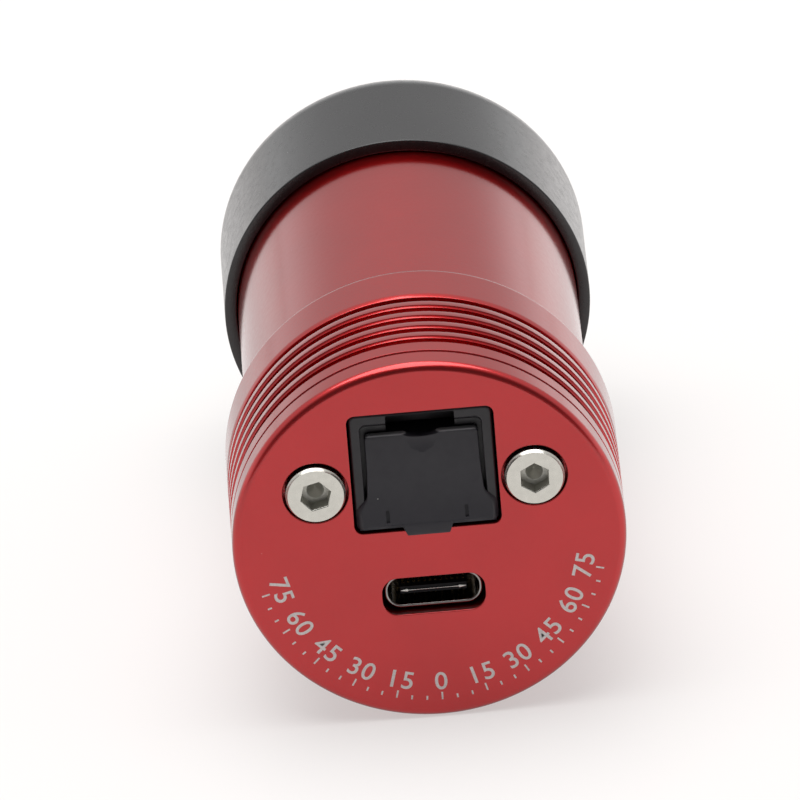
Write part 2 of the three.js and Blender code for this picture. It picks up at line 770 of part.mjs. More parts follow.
// The ribbon waves gently between the two sockets, because it is a little longer than the way.
function makeFlexCable() {
  const startY = boardFrontY + seatGap + mainSocketThickness + seatGap;
  const socketFrontY = sensorBoardRearY - seatGap;
  const socketRearY = socketFrontY - sensorSocketThickness;
  const endY = socketRearY - seatGap;
  const socket = block(sensorSocketWidth, sensorSocketHeight, socketRearY, socketFrontY);
  place('sensor_flex_socket', socket, 'blackPlastic', 0, -sensorSocketDrop);
  const half = ribbonThickness / 2;
  const lower = [];
  const upper = [];
  for (let step = 0; step <= ribbonSteps; step += 1) {
    const share = step / ribbonSteps;
    const y = startY + (endY - startY) * share;
    const drop = mainSocketDrop + (sensorSocketDrop - mainSocketDrop) * share;
    const wave = ribbonSlack * (1 - Math.cos(2 * Math.PI * ribbonWaves * share)) / 2;
    lower.push([y, wave - drop - half]);
    upper.push([y, wave - drop + half]);
  }
  place('flex_cable', sideProfile([...lower, ...upper.reverse()], ribbonWidth), 'polyimide');
}

function makeWindow() {
  const gasketRadius = windowBoreRadius - windowRingGap;
  place('window_gasket', turnedRing([
    [gasketRadius, windowSeatY + seatGap],
    [gasketRadius, gasketFrontY],
    [gasketRadius - gasketWidth, gasketFrontY],
    [gasketRadius - gasketWidth, windowSeatY + seatGap],
  ], shellSides), 'rubber');
  place('protective_window', rod(windowRadius, windowRearY, windowFrontY, shellSides), 'glass');
  const ring = turnedRing([
    [gasketRadius, windowRingRearY],
    [gasketRadius, windowRingFrontY],
    [gasketRadius - windowRingWidth, windowRingFrontY],
    [gasketRadius - windowRingWidth, windowRingRearY],
  ], shellSides);
  const slotLength = 2 * (gasketRadius + cutOverrun);
  const slot = block(slotLength, spannerSlotWidth, windowRingFrontY - spannerSlotDepth,
    windowRingFrontY + cutOverrun);
  place('window_ring', shaped(ring, [], [slot]), 'blackAnodised');
}

function makeDustCap() {
  const innerCorner = capFrontRadius - capWall;
  const quarter = Math.PI / 2;
  const profile = [
    [0, capFloorY],
    ...arc(capBoreRadius - innerCorner, capFloorY - innerCorner, innerCorner, quarter, 0,
      capFrontSteps),
    [capBoreRadius, capRimY],
    [capOuterRadius - capRimChamfer, capRimY],
    [capOuterRadius, capRimY + capRimChamfer],
    ...arc(capOuterRadius - capFrontRadius, capFrontY - capFrontRadius, capFrontRadius, 0, quarter,
      capFrontSteps),
    [0, capFrontY],
  ];
  place('dust_cap', turned(profile, shellSides), 'capPlastic');
}

makeHousing();
makeRearCover();
makeCoverScrews();
makeStandoffs();
makeMainBoard();
makeBoardParts();
makeGuideJack();
makeJackContacts();
makeGuidePlug();
makeUsbSocket();
makeSensorBoard();
makeSensor();
makeFlexCable();
makeWindow();
makeDustCap();

// The origin is the middle of the camera's length, on the surface that it lies on.
const rearmostY = -tongueGap - tongueThickness;
camera.position.set(0, -(rearmostY + capFrontY) / 2, bodyRadius * Math.cos(Math.PI / shellSides));

export default camera;
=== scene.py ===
import json
import math

import bmesh
import bpy
from mathutils import Matrix, Vector


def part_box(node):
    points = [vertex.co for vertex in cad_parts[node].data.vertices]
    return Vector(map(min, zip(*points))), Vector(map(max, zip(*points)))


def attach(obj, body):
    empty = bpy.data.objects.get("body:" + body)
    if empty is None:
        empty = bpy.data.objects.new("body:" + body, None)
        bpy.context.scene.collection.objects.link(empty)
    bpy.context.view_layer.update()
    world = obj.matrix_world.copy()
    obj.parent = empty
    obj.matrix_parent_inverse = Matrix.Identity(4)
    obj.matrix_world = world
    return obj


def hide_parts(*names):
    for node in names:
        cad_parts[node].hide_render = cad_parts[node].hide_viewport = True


# A compact astronomy camera on a pale floor. Points on it are (x, y, z) in millimetres: x to the
# right, y along the optical axis from the rear face, z up from the axis. place() turns them into
# the frame's metres.

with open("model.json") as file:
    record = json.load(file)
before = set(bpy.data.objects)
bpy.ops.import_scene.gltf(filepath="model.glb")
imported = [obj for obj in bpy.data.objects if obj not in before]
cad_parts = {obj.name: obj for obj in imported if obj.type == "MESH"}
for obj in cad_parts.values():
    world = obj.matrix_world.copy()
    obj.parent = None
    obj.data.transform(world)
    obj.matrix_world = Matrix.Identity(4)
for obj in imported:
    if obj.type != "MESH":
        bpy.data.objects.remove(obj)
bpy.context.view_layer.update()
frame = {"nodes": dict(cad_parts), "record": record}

MM = 0.001
CAD_SIDES = 36
SIDES = 192
SCREW_SIDES = 96
CORNER_STEPS = 6
FILLET_STEPS = 3
OVERRUN = 1
SAME_POINT = 1e-7
SHARP_DEGREES = 35
BEVEL_DEGREES = 40
INNER_EDGE = 0.05
SEAT_GAP = 0.02

cover_low, cover_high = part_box("rear_cover")
AXIS_Z = (cover_low.z + cover_high.z) / 2
REAR_Y = cover_low.y


class Span:
    """The box of a CAD node, in millimetres about the axis."""

    def __init__(self, node):
        low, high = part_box(node)
        self.x0, self.x1 = low.x / MM, high.x / MM
        self.y0, self.y1 = (low.y - REAR_Y) / MM, (high.y - REAR_Y) / MM
        self.z0, self.z1 = (low.z - AXIS_Z) / MM, (high.z - AXIS_Z) / MM

    def round_radius(self):
        """The radius of a turned node, whose topmost facet is flat."""
        return (self.z1 - self.z0) / 2 / math.cos(math.pi / CAD_SIDES)


def mount_level(name):
    mounts = {mount["name"]: mount for mount in frame["record"]["mounts"]}
    return (mounts[name]["pos_m"][1] - REAR_Y) / MM


housing, cover, cap = Span("housing"), Span("rear_cover"), Span("dust_cap")
jack, plug, usb = Span("guide_jack"), Span("guide_plug"), Span("usb_shell")
screw, board = Span("cover_screw_right"), Span("main_board")
window, window_ring, gasket = Span("protective_window"), Span("window_ring"), Span("window_gasket")

# Housing and cover
BODY_RADIUS = cover.round_radius()
BODY_END = mount_level("nosepiece_shoulder")
NOSE_RADIUS = 15.85
NOSE_END = housing.y1
SEAM = housing.y0 - SEAT_GAP
SPIGOT_END = cover.y1
REAR_EDGE = 0.8
SEAM_DEPTH = 0.42
SEAM_WIDTH = 0.2
SEAM_EDGE = 0.03
SHOULDER_FILLET = 1.1
NOSE_CHAMFER = 0.4
FINE_EDGE = 0.08
GROOVE_COUNT = 5
GROOVE_SETBACK = 1.86
GROOVE_PITCH = 2.12
GROOVE_WIDTH = 1.15
FRONT_GROOVE_WIDTH = 0.97
GROOVE_DEPTH = 0.95
GROOVE_BEVEL = 0.2
GROOVE_BREAK = 0.05
LAND_RUN = 0.6
LAND_DROP = 0.09
LAND_EDGE = 0.09
LAND_FILLET = 1.5
RIDGE_EDGE = 0.05
BOARD_BORE = 15.2
BORE_LEAD = 0.2
NOSE_BORE = 9.6
SPIGOT_RADIUS = BOARD_BORE - 0.1
BOARD_SEAT = board.y1 + SEAT_GAP
WINDOW_BORE = gasket.round_radius() + 0.1
WINDOW_SEAT = gasket.y0 - SEAT_GAP
FLANGE_REAR = WINDOW_SEAT - 1.8
APERTURE = 6.2
FILTER_SEAT = window_ring.y1 + SEAT_GAP
THREAD_ROOT = 14.25
THREAD_DEPTH = 0.3
THREAD_PITCH = 0.6
THREAD_STEPS = 8
THREAD_LEAD = 0.25

# Screws and their holes
SCREW_X = (screw.x0 + screw.x1) / 2
SCREW_Z = (screw.z0 + screw.z1) / 2
SCREW_HEAD = 2.75
SCREW_HEAD_FRONT = screw.y0 + 3
SCREW_SHANK = 1.45
SCREW_CHAMFER = 0.28
SCREW_CHAMFER_DEPTH = 0.34
SCREW_EDGE = 0.05
SCREW_END_EDGE = 0.3
HEX_FLATS = 2.5
HEX_DEPTH = 1.4
HEX_EDGE = 0.13
DRILL_RADIUS = 0.8
DRILL_DEPTH = 0.7
DRILL_TIP = 0.05
SCREW_TURNS = {"left": 16, "right": 2}
COUNTERBORE = 3.0
COUNTERBORE_END = SCREW_HEAD_FRONT + SEAT_GAP
SHANK_HOLE = 1.6
STUD_HOLE_END = board.y1 + 5.6
SENSOR_SCREW_CIRCLE = 7.3
SENSOR_SCREW_HOLE = 1.05
SENSOR_SCREW_COUNT = 3
HOLE_EDGE = 0.12

# Guide jack and plug
PORT_GAP = 0.15
PORT_CORNER = 0.75
JACK_WIDTH = jack.x1 - jack.x0
JACK_CORNER = 0.6
JACK_EDGE = 0.26
MOUTH_HALF = 5.55
MOUTH_LOW = 1.95
MOUTH_TOP = 11.4
MOUTH_FLOOR = 1.75
MOUTH_LEAD_TOP = 12.1
MOUTH_CORNER = 0.5
# How deep, how much wider on three sides, and how far up the lead to MOUTH_LEAD_TOP
MOUTH_LEVELS = [
    (-1.0, 0.2, 1.2), (0, 0.1, 1.08), (0.06, 0.03, 0.97), (0.15, 0, 0.84), (0.7, 0, 0.42),
    (1.05, 0, 0.08), (1.2, 0, 0), (MOUTH_FLOOR - jack.y0, 0, 0),
]
CAVITY_HALF = 4.95
CAVITY_LOW = 2.75
CAVITY_TOP = 10.75
CAVITY_END = 12.02
NOTCH_HALF = 3.15
NOTCH_TOP = 12.85
NOTCH_END = 3.45
NOTCH_EDGE = 0.15
CONTACT_PITCH = 1.02
CONTACT_COUNT = 6
CONTACT_SLOT = 0.7
CONTACT_SLOT_RISE = (0.17, 0.73)
PLUG_TOP = plug.z1
PLUG_KNEE = 4.6
PLUG_FOOT = jack.z0 + 0.2
PLUG_SHELF = MOUTH_LOW + 0.2
PLUG_TOP_FACE = jack.y0 + 0.5
PLUG_KNEE_FACE = jack.y0 - 0.15
PLUG_FOOT_FACE = jack.y0 - 0.8
PLUG_BACK = MOUTH_FLOOR - 0.2
PLUG_RIM_BACK = jack.y0 - 0.05
PLUG_UPPER_HALF = 5.2
PLUG_LOWER_HALF = 5.35
PLUG_FLARE_LOW = 4.2
PLUG_FLARE_TOP = 8.0
PLUG_CORNER = 0.4
PLUG_EDGE = 0.14
INSERT_END = plug.y1
INSERT_DROP = 0.5
INSERT_START = 0.3
INSERT_GAP = 0.2
INSERT_EDGE = 0.2
TONGUE_TIP = plug.z0
TONGUE_HALF = 2.28
TONGUE_TIP_HALF = 1.9
GRIP_LOW = 2.3
GRIP_TOP = 3.45
GRIP_WIDTH = 0.32
GRIP_DEPTH = 0.25
GRIP_LEAD = 0.3
GRIP_X = 3.6
THUMB_HALF = 1.6
THUMB_DROP = 0.4
# How much wider the thumb notch is, and how far behind the face's top
THUMB_LEVELS = ((0.3, -0.3), (0.12, 0), (0, 0.2))
DIMPLE_HALF = 1.35
DIMPLE_DEPTH = 0.14
DIMPLE_Z = 10.1
FLARE_STEPS = 10
DISH_STEPS = 12
PLUG_LIP = JACK_WIDTH / 2 - 0.08 - PLUG_LOWER_HALF
LAP_TOP = PLUG_KNEE + 0.3
LAP_FULL = PLUG_KNEE - 1.3
LAP_SLOPE = 0.55
LAP_GAP = 0.03
LAP_LEDGE = 0.005
LAP_STEP = 0.01
KNEE_REACH = 1.6
KNEE_STEPS = 8
TONGUE_BACK = -0.06
TONGUE_PROUD = 0.012
TONGUE_DEPTH = 0.1
TONGUE_ROOT = 0.9
TONGUE_RISE = 0.3
TONGUE_BEND = 0.25
TONGUE_TIP_DRAW = 0.08
TONGUE_TAPER = 0.6
TONGUE_EDGE = 0.09

# Data socket
USB_CENTRE = (usb.z0 + usb.z1) / 2
USB_WIDTH = usb.x1 - usb.x0
USB_HEIGHT = usb.z1 - usb.z0
USB_CORNER = 1.5
USB_STEPS = 12
USB_WALL = 0.3
USB_LIP = 0.13
# The upper edge of the bright plate's half, as (x, z) from the socket's middle
USB_ARROW = [(3.0, 0.03), (2.35, 0.15), (2.3, 0.04), (1.15, 0.03)]
USB_SLOT_WIDTH = 9.4
USB_SLOT_HEIGHT = 3.7
USB_TONGUE_WIDTH = 6.1
USB_TONGUE_THICKNESS = 0.7
USB_BLOCK = usb.y0 + 6.2
USB_TIP = 0.3
USB_PLATE = 0.1
USB_PLATE_EDGE = 0.02
USB_RAIL_GAP = 0.05
USB_RAIL_WIDTH = 0.3
USB_RAIL_START = 3.5
USB_RAIL_HALF = 0.35
USB_RAIL_EDGE = 0.05
USB_COLLAR = 0.25
USB_COLLAR_START = 0.3
USB_COLLAR_WIDTH = 0.45
USB_COLLAR_HALF = 0.85
USB_COLLAR_CORNER = 0.15
USB_COLLAR_HOLE = 0.4
USB_PAD_COUNT = 12
USB_PAD_PITCH = 0.5
USB_PAD_HALF = 0.12
USB_PAD_THICK = 0.02
USB_PAD_LIFT = 0.005
USB_PAD_START = 0.8
USB_PAD_END = 0.35
USB_PAD_EDGE = 0.01

# Dust cap
CAP_OUTER = cap.round_radius()
CAP_BORE = NOSE_RADIUS + 0.1
CAP_FRONT_RADIUS = 4.5
CAP_FLOOR = cap.y1 - 1.6
CAP_RIM_EDGE = 0.14

# Window
WINDOW_RING_RADIUS = WINDOW_BORE - 0.1
WINDOW_RING_WIDTH = 2.1
WINDOW_EDGE = 0.1
SEAL_WIDTH = 1.6
SEAL_EDGE = 0.08
SPANNER_SLOT_HALF = 0.6
SPANNER_SLOT_DEPTH = 0.4


def place(x, y, z):
    return Vector((x * MM, REAR_Y + y * MM, AXIS_Z + z * MM))


# Loops of points that walls and faces are put together from

def circle(radius, y, x=0, z=0, count=SIDES):
    points = []
    for index in range(count):
        angle = 2 * math.pi * index / count
        points.append((x + radius * math.sin(angle), y, z + radius * math.cos(angle)))
    return points


def rounded_box(x0, x1, z0, z1, radius, y, steps=CORNER_STEPS):
    """A rectangle with round corners, in the plane at y."""
    corners = [
        (x1 - radius, z1 - radius, 0),
        (x1 - radius, z0 + radius, 1),
        (x0 + radius, z0 + radius, 2),
        (x0 + radius, z1 - radius, 3),
    ]
    points = []
    for x, z, quarter in corners:
        for step in range(steps + 1):
            angle = (quarter + step / steps) * math.pi / 2
            points.append((x + radius * math.sin(angle), y, z + radius * math.cos(angle)))
    return points


def hexagon(across_flats, y, x=0, z=0):
    radius = across_flats / 2 / math.cos(math.pi / 6)
    return circle(radius, y, x, z, 6)


def filleted(corners, closed=False):
    """A line of (radius, y, fillet) corners, each rounded to its fillet."""
    line = []
    last = len(corners) - 1
    for index, (radius, y, fillet) in enumerate(corners):
        here = Vector((radius, y))
        if fillet == 0 or (not closed and index in (0, last)):
            line.append(here)
            continue
        back = (Vector(corners[index - 1][:2]) - here).normalized()
        ahead = (Vector(corners[(index + 1) % len(corners)][:2]) - here).normalized()
        half = back.angle(ahead) / 2
        centre = here + (back + ahead).normalized() * (fillet / math.sin(half))
        reach = fillet / math.tan(half)
        start = here + back * reach - centre
        end = here + ahead * reach - centre
        steps = max(FILLET_STEPS, round(fillet / FINE_EDGE))
        turns = [start.slerp(end, step / steps).normalized() for step in range(steps + 1)]
        line += [centre + turn * fillet for turn in turns]
    return line


def turned_loops(corners, **where):
    return [circle(radius, y, **where) for radius, y in filleted(corners)]


def edge_steps(edge):
    """Pairs of (inset, depth) that round an edge, from the face to the wall."""
    pairs = []
    for step in range(FILLET_STEPS + 1):
        angle = math.pi / 2 * step / FILLET_STEPS
        pairs.append((edge * (1 - math.sin(angle)), edge * (1 - math.cos(angle))))
    return pairs


def mesh_of(work):
    mesh = bpy.data.meshes.new("shape")
    work.to_mesh(mesh)
    work.free()
    return mesh


def edge_loops(loop, y, edge, side=1):
    """Loops of a rounded edge, from the face at y inwards; loop(offset, y) draws one of them."""
    return [loop(inset, y + side * depth) for inset, depth in edge_steps(edge)]


class Shell:
    """A closed surface put together from lofted walls and flat faces."""

    def __init__(self):
        self.work = bmesh.new()

    def ring(self, points):
        return [self.work.verts.new(place(*point)) for point in points]

    def wall(self, loops):
        rings = [self.ring(points) for points in loops]
        count = len(rings[0])
        for first, second in zip(rings, rings[1:]):
            for index in range(count):
                after = (index + 1) % count
                self.work.faces.new((first[index], first[after], second[after], second[index]))

    def flat(self, *loops):
        """A flat face inside the first loop and round the others."""
        if len(loops) == 1:
            self.work.faces.new(self.ring(loops[0]))
            return
        edges = []
        for points in loops:
            ring = self.ring(points)
            edges += [self.work.edges.new((ring[index - 1], ring[index])) for index in range(len(ring))]
        made = bmesh.ops.triangle_fill(self.work, use_beauty=True, edges=edges)["geom"]
        inner = [item for item in made if isinstance(item, bmesh.types.BMEdge)]
        inner = [edge for edge in inner if len(edge.link_faces) == 2]
        bmesh.ops.dissolve_limit(self.work, angle_limit=math.radians(1), edges=inner, verts=[])

    def solid(self, loops):
        """Walls with a flat face at both ends."""
        self.wall(loops)
        self.flat(loops[0])
        self.flat(loops[-1])

    def mesh(self):
        bmesh.ops.remove_doubles(self.work, verts=self.work.verts[:], dist=SAME_POINT)
        loose = [edge for edge in self.work.edges if not edge.link_faces]
        bmesh.ops.delete(self.work, geom=loose, context="EDGES")
        bmesh.ops.recalc_face_normals(self.work, faces=self.work.faces[:])
        return mesh_of(self.work)


def tube_mesh(loops):
    """A wall that runs round and closes on its first loop."""
    shell = Shell()
    shell.wall(loops + [loops[0]])
    return shell.mesh()


def solid_mesh(loops):
    shell = Shell()
    shell.solid(loops)
    return shell.mesh()


def new_object(name, data):
    made = bpy.data.objects.new(name, data)
    bpy.context.scene.collection.objects.link(made)
    return made


def piece(name, mesh, material, replaced=(), body="camera", at=(0, 0, 0)):
    """A finished piece that rides on a body and stands for the CAD nodes it replaces."""
    mesh.shade_smooth()
    mesh.set_sharp_from_angle(angle=math.radians(SHARP_DEGREES))
    mesh.name = name
    made = new_object(name, mesh)
    made.location = at
    mesh.materials.clear()
    mesh.materials.append(material)
    steady = made.modifiers.new("flat_faces_stay_flat", "WEIGHTED_NORMAL")
    steady.keep_sharp = True
    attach(made, body)
    if replaced:
        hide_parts(*replaced)
    return made


def applied(target):
    """The mesh of an object with its modifiers, and the object taken away."""
    graph = bpy.context.evaluated_depsgraph_get()
    mesh = bpy.data.meshes.new_from_object(target.evaluated_get(graph))
    bpy.data.objects.remove(target)
    return mesh


def combined(base, operation, *others):
    """Joins or cuts closed meshes: DIFFERENCE takes the others away, UNION adds them."""
    for other in others:
        target = new_object("base_of_cut", base)
        tool = new_object("other_of_cut", other)
        cut = target.modifiers.new("cut", "BOOLEAN")
        cut.operation = operation
        cut.solver = "EXACT"
        cut.object = tool
        base = applied(target)
        bpy.data.objects.remove(tool)
    return base


def add_bevel(target, width, segments=2):
    edge = target.modifiers.new("soft_edges", "BEVEL")
    edge.width = width * MM
    edge.segments = segments
    edge.limit_method = "ANGLE"
    edge.angle_limit = math.radians(BEVEL_DEGREES)


def bevelled(mesh, width, segments=2):
    target = new_object("to_bevel", mesh)
    add_bevel(target, width, segments)
    return applied(target)


def block(x0, x1, y0, y1, z0, z1, edge=0.0):
    low = [(x0, y0, z0), (x1, y0, z0), (x1, y0, z1), (x0, y0, z1)]
    mesh = solid_mesh([low, [(x, y1, z) for x, _, z in low]])
    return bevelled(mesh, edge) if edge else mesh


# Materials

WAVE_RADIANS = 20
SOFT = "SMOOTHSTEP"
# SOCKET_SHADE darkens the screws' sockets as painted shade in the recess; SOCKET_ROUGHNESS makes them
# rougher.
SOCKET_SHADE = 0.9
SOCKET_ROUGHNESS = 0.25
SOCKET_REACH = (0.59, 0.61)
SPECK_CORE = 0.7


class Nodes:
    """The nodes of one tree; an input takes a value or another node's output."""

    def __init__(self, tree):
        self.tree = tree

    def add(self, kind, inputs=None, **settings):
        node = self.tree.nodes.new(kind)
        for name, value in settings.items():
            setattr(node, name, value)
        for key, value in (inputs or {}).items():
            self.give(node.inputs[key], value)
        return node

    def give(self, socket, value):
        if isinstance(value, bpy.types.NodeSocket):
            self.tree.links.new(value, socket)
        else:
            socket.default_value = value

    def math(self, operation, first, second):
        node = self.add("ShaderNodeMath", {0: first, 1: second}, operation=operation)
        return node.outputs["Value"]

    def ranged(self, source, low, high, from_low=0.3, from_high=0.7, ramp="LINEAR"):
        inputs = {"Value": source, "From Min": from_low, "From Max": from_high,
                  "To Min": low, "To Max": high}
        return self.add("ShaderNodeMapRange", inputs, interpolation_type=ramp).outputs["Result"]

    def axes(self, vector):
        return self.add("ShaderNodeSeparateXYZ", {"Vector": vector}).outputs


class Paint(Nodes):
    """One material: a Principled shader with its colour, roughness and bump made by nodes."""

    def __init__(self, name, colour, roughness, metallic=0.0, ior=1.5):
        self.material = bpy.data.materials.new(name)
        self.material.use_nodes = True
        super().__init__(self.material.node_tree)
        self.shader = self.tree.nodes["Principled BSDF"]
        self.where = self.add("ShaderNodeTexCoord").outputs["Object"]
        self.set("Base Color", (*colour, 1))
        self.set("Roughness", roughness)
        self.set("Metallic", metallic)
        self.set("IOR", ior)
        self.material.diffuse_color = (*colour, 1)

    def set(self, name, value):
        self.give(self.shader.inputs[name], value)

    def colour(self, value):
        self.set("Base Color", value)

    def noise(self, size, detail=3.0):
        """Noise whose features are about size millimetres across."""
        inputs = {"Vector": self.where, "Scale": 1 / (size * MM), "Detail": detail}
        return self.add("ShaderNodeTexNoise", inputs).outputs["Fac"]

    def blend(self, share, first, second):
        """A colour between two, each a colour or an output."""
        first, second = [(*side, 1) if isinstance(side, tuple) else side for side in (first, second)]
        inputs = {"A": first, "B": second, "Factor": share}
        return self.add("ShaderNodeMix", inputs, data_type="RGBA").outputs["Result"]

    def mottled(self, size, first, second, detail=3.0):
        """A colour that wanders between two colours."""
        return self.blend(self.ranged(self.noise(size, detail), 0, 1), first, second)

    def uneven(self, size, low, high):
        self.set("Roughness", self.ranged(self.noise(size), low, high))

    def specks(self, spacing, radius, share):
        """A mask of scattered dots: one cell in so many holds a dot."""
        inputs = {"Vector": self.where, "Scale": 1 / (spacing * MM)}
        cells = self.add("ShaderNodeTexVoronoi", inputs).outputs
        near = self.ranged(cells["Distance"], 1, 0, radius / spacing * SPECK_CORE, radius / spacing)
        chosen = self.add("ShaderNodeSeparateColor", {"Color": cells["Color"]}).outputs["Red"]
        return self.math("MULTIPLY", near, self.math("LESS_THAN", chosen, share))

    def lines(self, pitch, distortion=0.0, detail=2.0, **settings):
        """Fine lines; the settings say whether they are bands or rings, and along which axis."""
        inputs = {"Vector": self.where, "Scale": 1 / (pitch * MM) / WAVE_RADIANS,
                  "Distortion": distortion, "Detail": detail}
        return self.add("ShaderNodeTexWave", inputs, **settings).outputs["Fac"]

    def bump(self, height, depth, strength):
        """Bump of so many millimetres; several bumps add up."""
        inputs = {"Height": height, "Distance": depth * MM, "Strength": strength}
        node = self.add("ShaderNodeBump", inputs)
        earlier = self.shader.inputs["Normal"].links
        if earlier:
            self.give(node.inputs["Normal"], earlier[0].from_socket)
        self.set("Normal", node.outputs["Normal"])

    def coat(self, roughness, ior):
        self.set("Coat Weight", 1.0)
        self.set("Coat Roughness", roughness)
        self.set("Coat IOR", ior)


def scaled(colour, share):
    return tuple(share * part for part in colour)


def red_anodised():
    paint = Paint("red_anodised", (0.425, 0.0045, 0.0065), 0.33, metallic=1.0)
    paint.coat(0.14, 1.55)
    paint.set("Specular Tint", (0.25, 0.12, 0.12, 1))
    tone = paint.mottled(6.0, (0.41, 0.004, 0.0058), (0.44, 0.005, 0.0072), 2.0)
    paint.colour(paint.blend(paint.specks(2.6, 0.045, 0.16), tone, (0.62, 0.3, 0.3)))
    paint.uneven(0.5, 0.3, 0.36)
    paint.bump(paint.noise(0.09, 2.0), 0.003, 0.35)
    turned = paint.lines(0.14, 0.3, wave_type="BANDS", bands_direction="Y")
    paint.bump(turned, 0.0012, 0.25)
    return paint.material


def black_moulding(name, colour, roughness, grain, depth):
    paint = Paint(name, colour, roughness)
    paint.colour(paint.mottled(1.8, colour, scaled(colour, 1.35)))
    paint.uneven(0.7, roughness - 0.05, roughness + 0.05)
    paint.bump(paint.noise(grain, 2.0), depth, 0.6)
    return paint


def socket_plastic():
    paint = black_moulding("socket_plastic", (0.005, 0.0046, 0.006), 0.6, 0.1, 0.005)
    paint.set("Specular IOR Level", 0.15)
    return paint.material


def plug_rubber():
    """Moulded rubber with a painted highlight: a paler band along the plug's top edge."""
    colour = (0.0165, 0.015, 0.0205)
    paint = black_moulding("plug_rubber", colour, 0.5, 0.1, 0.01)
    tone = paint.mottled(2.2, colour, (0.0195, 0.018, 0.0235))
    tone = paint.blend(paint.specks(1.5, 0.055, 0.1), tone, (0.45, 0.44, 0.43))
    # Painted highlight: the rubber is paler in a thin band along the plug's top edge, where that edge
    # would catch the light.
    top = AXIS_Z + PLUG_TOP * MM
    height = paint.axes(paint.where)["Z"]
    line = paint.ranged(height, 0, 1, top - PLUG_EDGE * MM, top - PLUG_EDGE / 2 * MM)
    paint.colour(paint.blend(line, tone, (0.21, 0.205, 0.215)))
    return paint.material


def cap_plastic():
    colour = (0.0115, 0.0105, 0.0112)
    paint = black_moulding("cap_plastic", colour, 0.24, 0.25, 0.002)
    paint.set("IOR", 1.55)
    tone = paint.mottled(5.0, colour, (0.014, 0.013, 0.0136))
    paint.colour(paint.blend(paint.specks(3.4, 0.06, 0.14), tone, (0.2, 0.2, 0.2)))
    return paint.material


def metal(name, colour, roughness, pitch=0.0, inside=None):
    """Bare metal; inside is the mask of a socket darkened with painted shade and made rougher, as a
    function of the paint.
    """
    paint = Paint(name, colour, roughness, metallic=1.0)
    tone = paint.mottled(0.6, scaled(colour, 0.9), colour)
    rough = paint.ranged(paint.noise(0.3), roughness - 0.05, roughness + 0.07)
    if inside:
        mask = inside(paint)
        # Painted shade: the socket's colour is darkened by SOCKET_SHADE.
        tone = paint.blend(mask, tone, scaled(colour, SOCKET_SHADE))
        rough = paint.math("ADD", rough, paint.ranged(mask, 0, SOCKET_ROUGHNESS, 0, 1))
    paint.colour(tone)
    paint.set("Roughness", rough)
    if pitch:
        turned = paint.lines(pitch, 0.4, 1.0, wave_type="RINGS", rings_direction="Y")
        paint.bump(turned, 0.002, 0.5)
    paint.bump(paint.noise(0.05, 1.0), 0.001, 0.4)
    return paint.material


def in_socket(paint):
    """The mask of a screw's socket, for its painted shade and rougher broached finish; the screw's origin
    is the middle of its head.
    """
    deep = paint.ranged(paint.axes(paint.where)["Y"], 0, 1, HEX_EDGE * MM, 2 * HEX_EDGE * MM)
    across = paint.add("ShaderNodeVectorMath", {0: paint.where, 1: (1, 0, 1)}, operation="MULTIPLY")
    size = paint.add("ShaderNodeVectorMath", {0: across.outputs["Vector"]}, operation="LENGTH")
    reach = [share * HEX_FLATS * MM for share in SOCKET_REACH]
    near = paint.ranged(size.outputs["Value"], 1, 0, *reach)
    return paint.math("MULTIPLY", deep, near)


def gloss(name, colour, roughness, grain, depth):
    paint = Paint(name, colour, roughness)
    paint.colour(paint.mottled(0.8, scaled(colour, 0.8), colour))
    paint.uneven(0.4, roughness - 0.05, roughness + 0.08)
    paint.bump(paint.noise(grain, 2.0), depth, 0.5)
    return paint.material


def circuit_board():
    """Green lacquer over tracks laid out like bricks, with gold rings round the holes."""
    green = (0.012, 0.085, 0.035)
    paint = Paint("circuit_board", green, 0.38)
    turned = paint.add("ShaderNodeMapping", {"Vector": paint.where, "Rotation": (math.pi / 2, 0, 0)})
    inputs = {
        "Vector": turned.outputs["Vector"],
        "Scale": 1 / (2.4 * MM),
        "Mortar Size": 0.035,
        "Color1": (0.009, 0.07, 0.028, 1),
        "Color2": (*green, 1),
        "Mortar": (0.03, 0.16, 0.07, 1),
    }
    tracks = paint.add("ShaderNodeTexBrick", inputs, offset=0.5, squash=0.6, squash_frequency=3)
    holes = paint.specks(1.3, 0.16, 0.3)
    paint.colour(paint.blend(holes, tracks.outputs["Color"], (0.5, 0.36, 0.14)))
    paint.uneven(0.8, 0.3, 0.45)
    paint.bump(tracks.outputs["Fac"], 0.03, 0.5)
    return paint.material


def clear_glass():
    paint = Paint("clear_glass", (0.93, 0.97, 0.96), 0.0, ior=1.52)
    paint.set("Transmission Weight", 1.0)
    paint.coat(0.02, 1.6)
    paint.uneven(4.0, 0.0, 0.02)
    return paint.material


def silicon():
    paint = Paint("silicon", (0.09, 0.11, 0.14), 0.12, metallic=0.6)
    rows = paint.ranged(paint.lines(0.12, wave_type="BANDS", bands_direction="X"), 0, 1, 0, 1)
    paint.colour(paint.blend(rows, (0.08, 0.1, 0.13), (0.11, 0.12, 0.17)))
    paint.coat(0.05, 1.7)
    return paint.material


def print_white():
    paint = Paint("print_white", (0.66, 0.62, 0.61), 0.5)
    paint.colour(paint.mottled(0.12, (0.58, 0.52, 0.51), (0.7, 0.66, 0.65)))
    paint.bump(paint.noise(0.06, 1.0), 0.004, 0.5)
    return paint.material


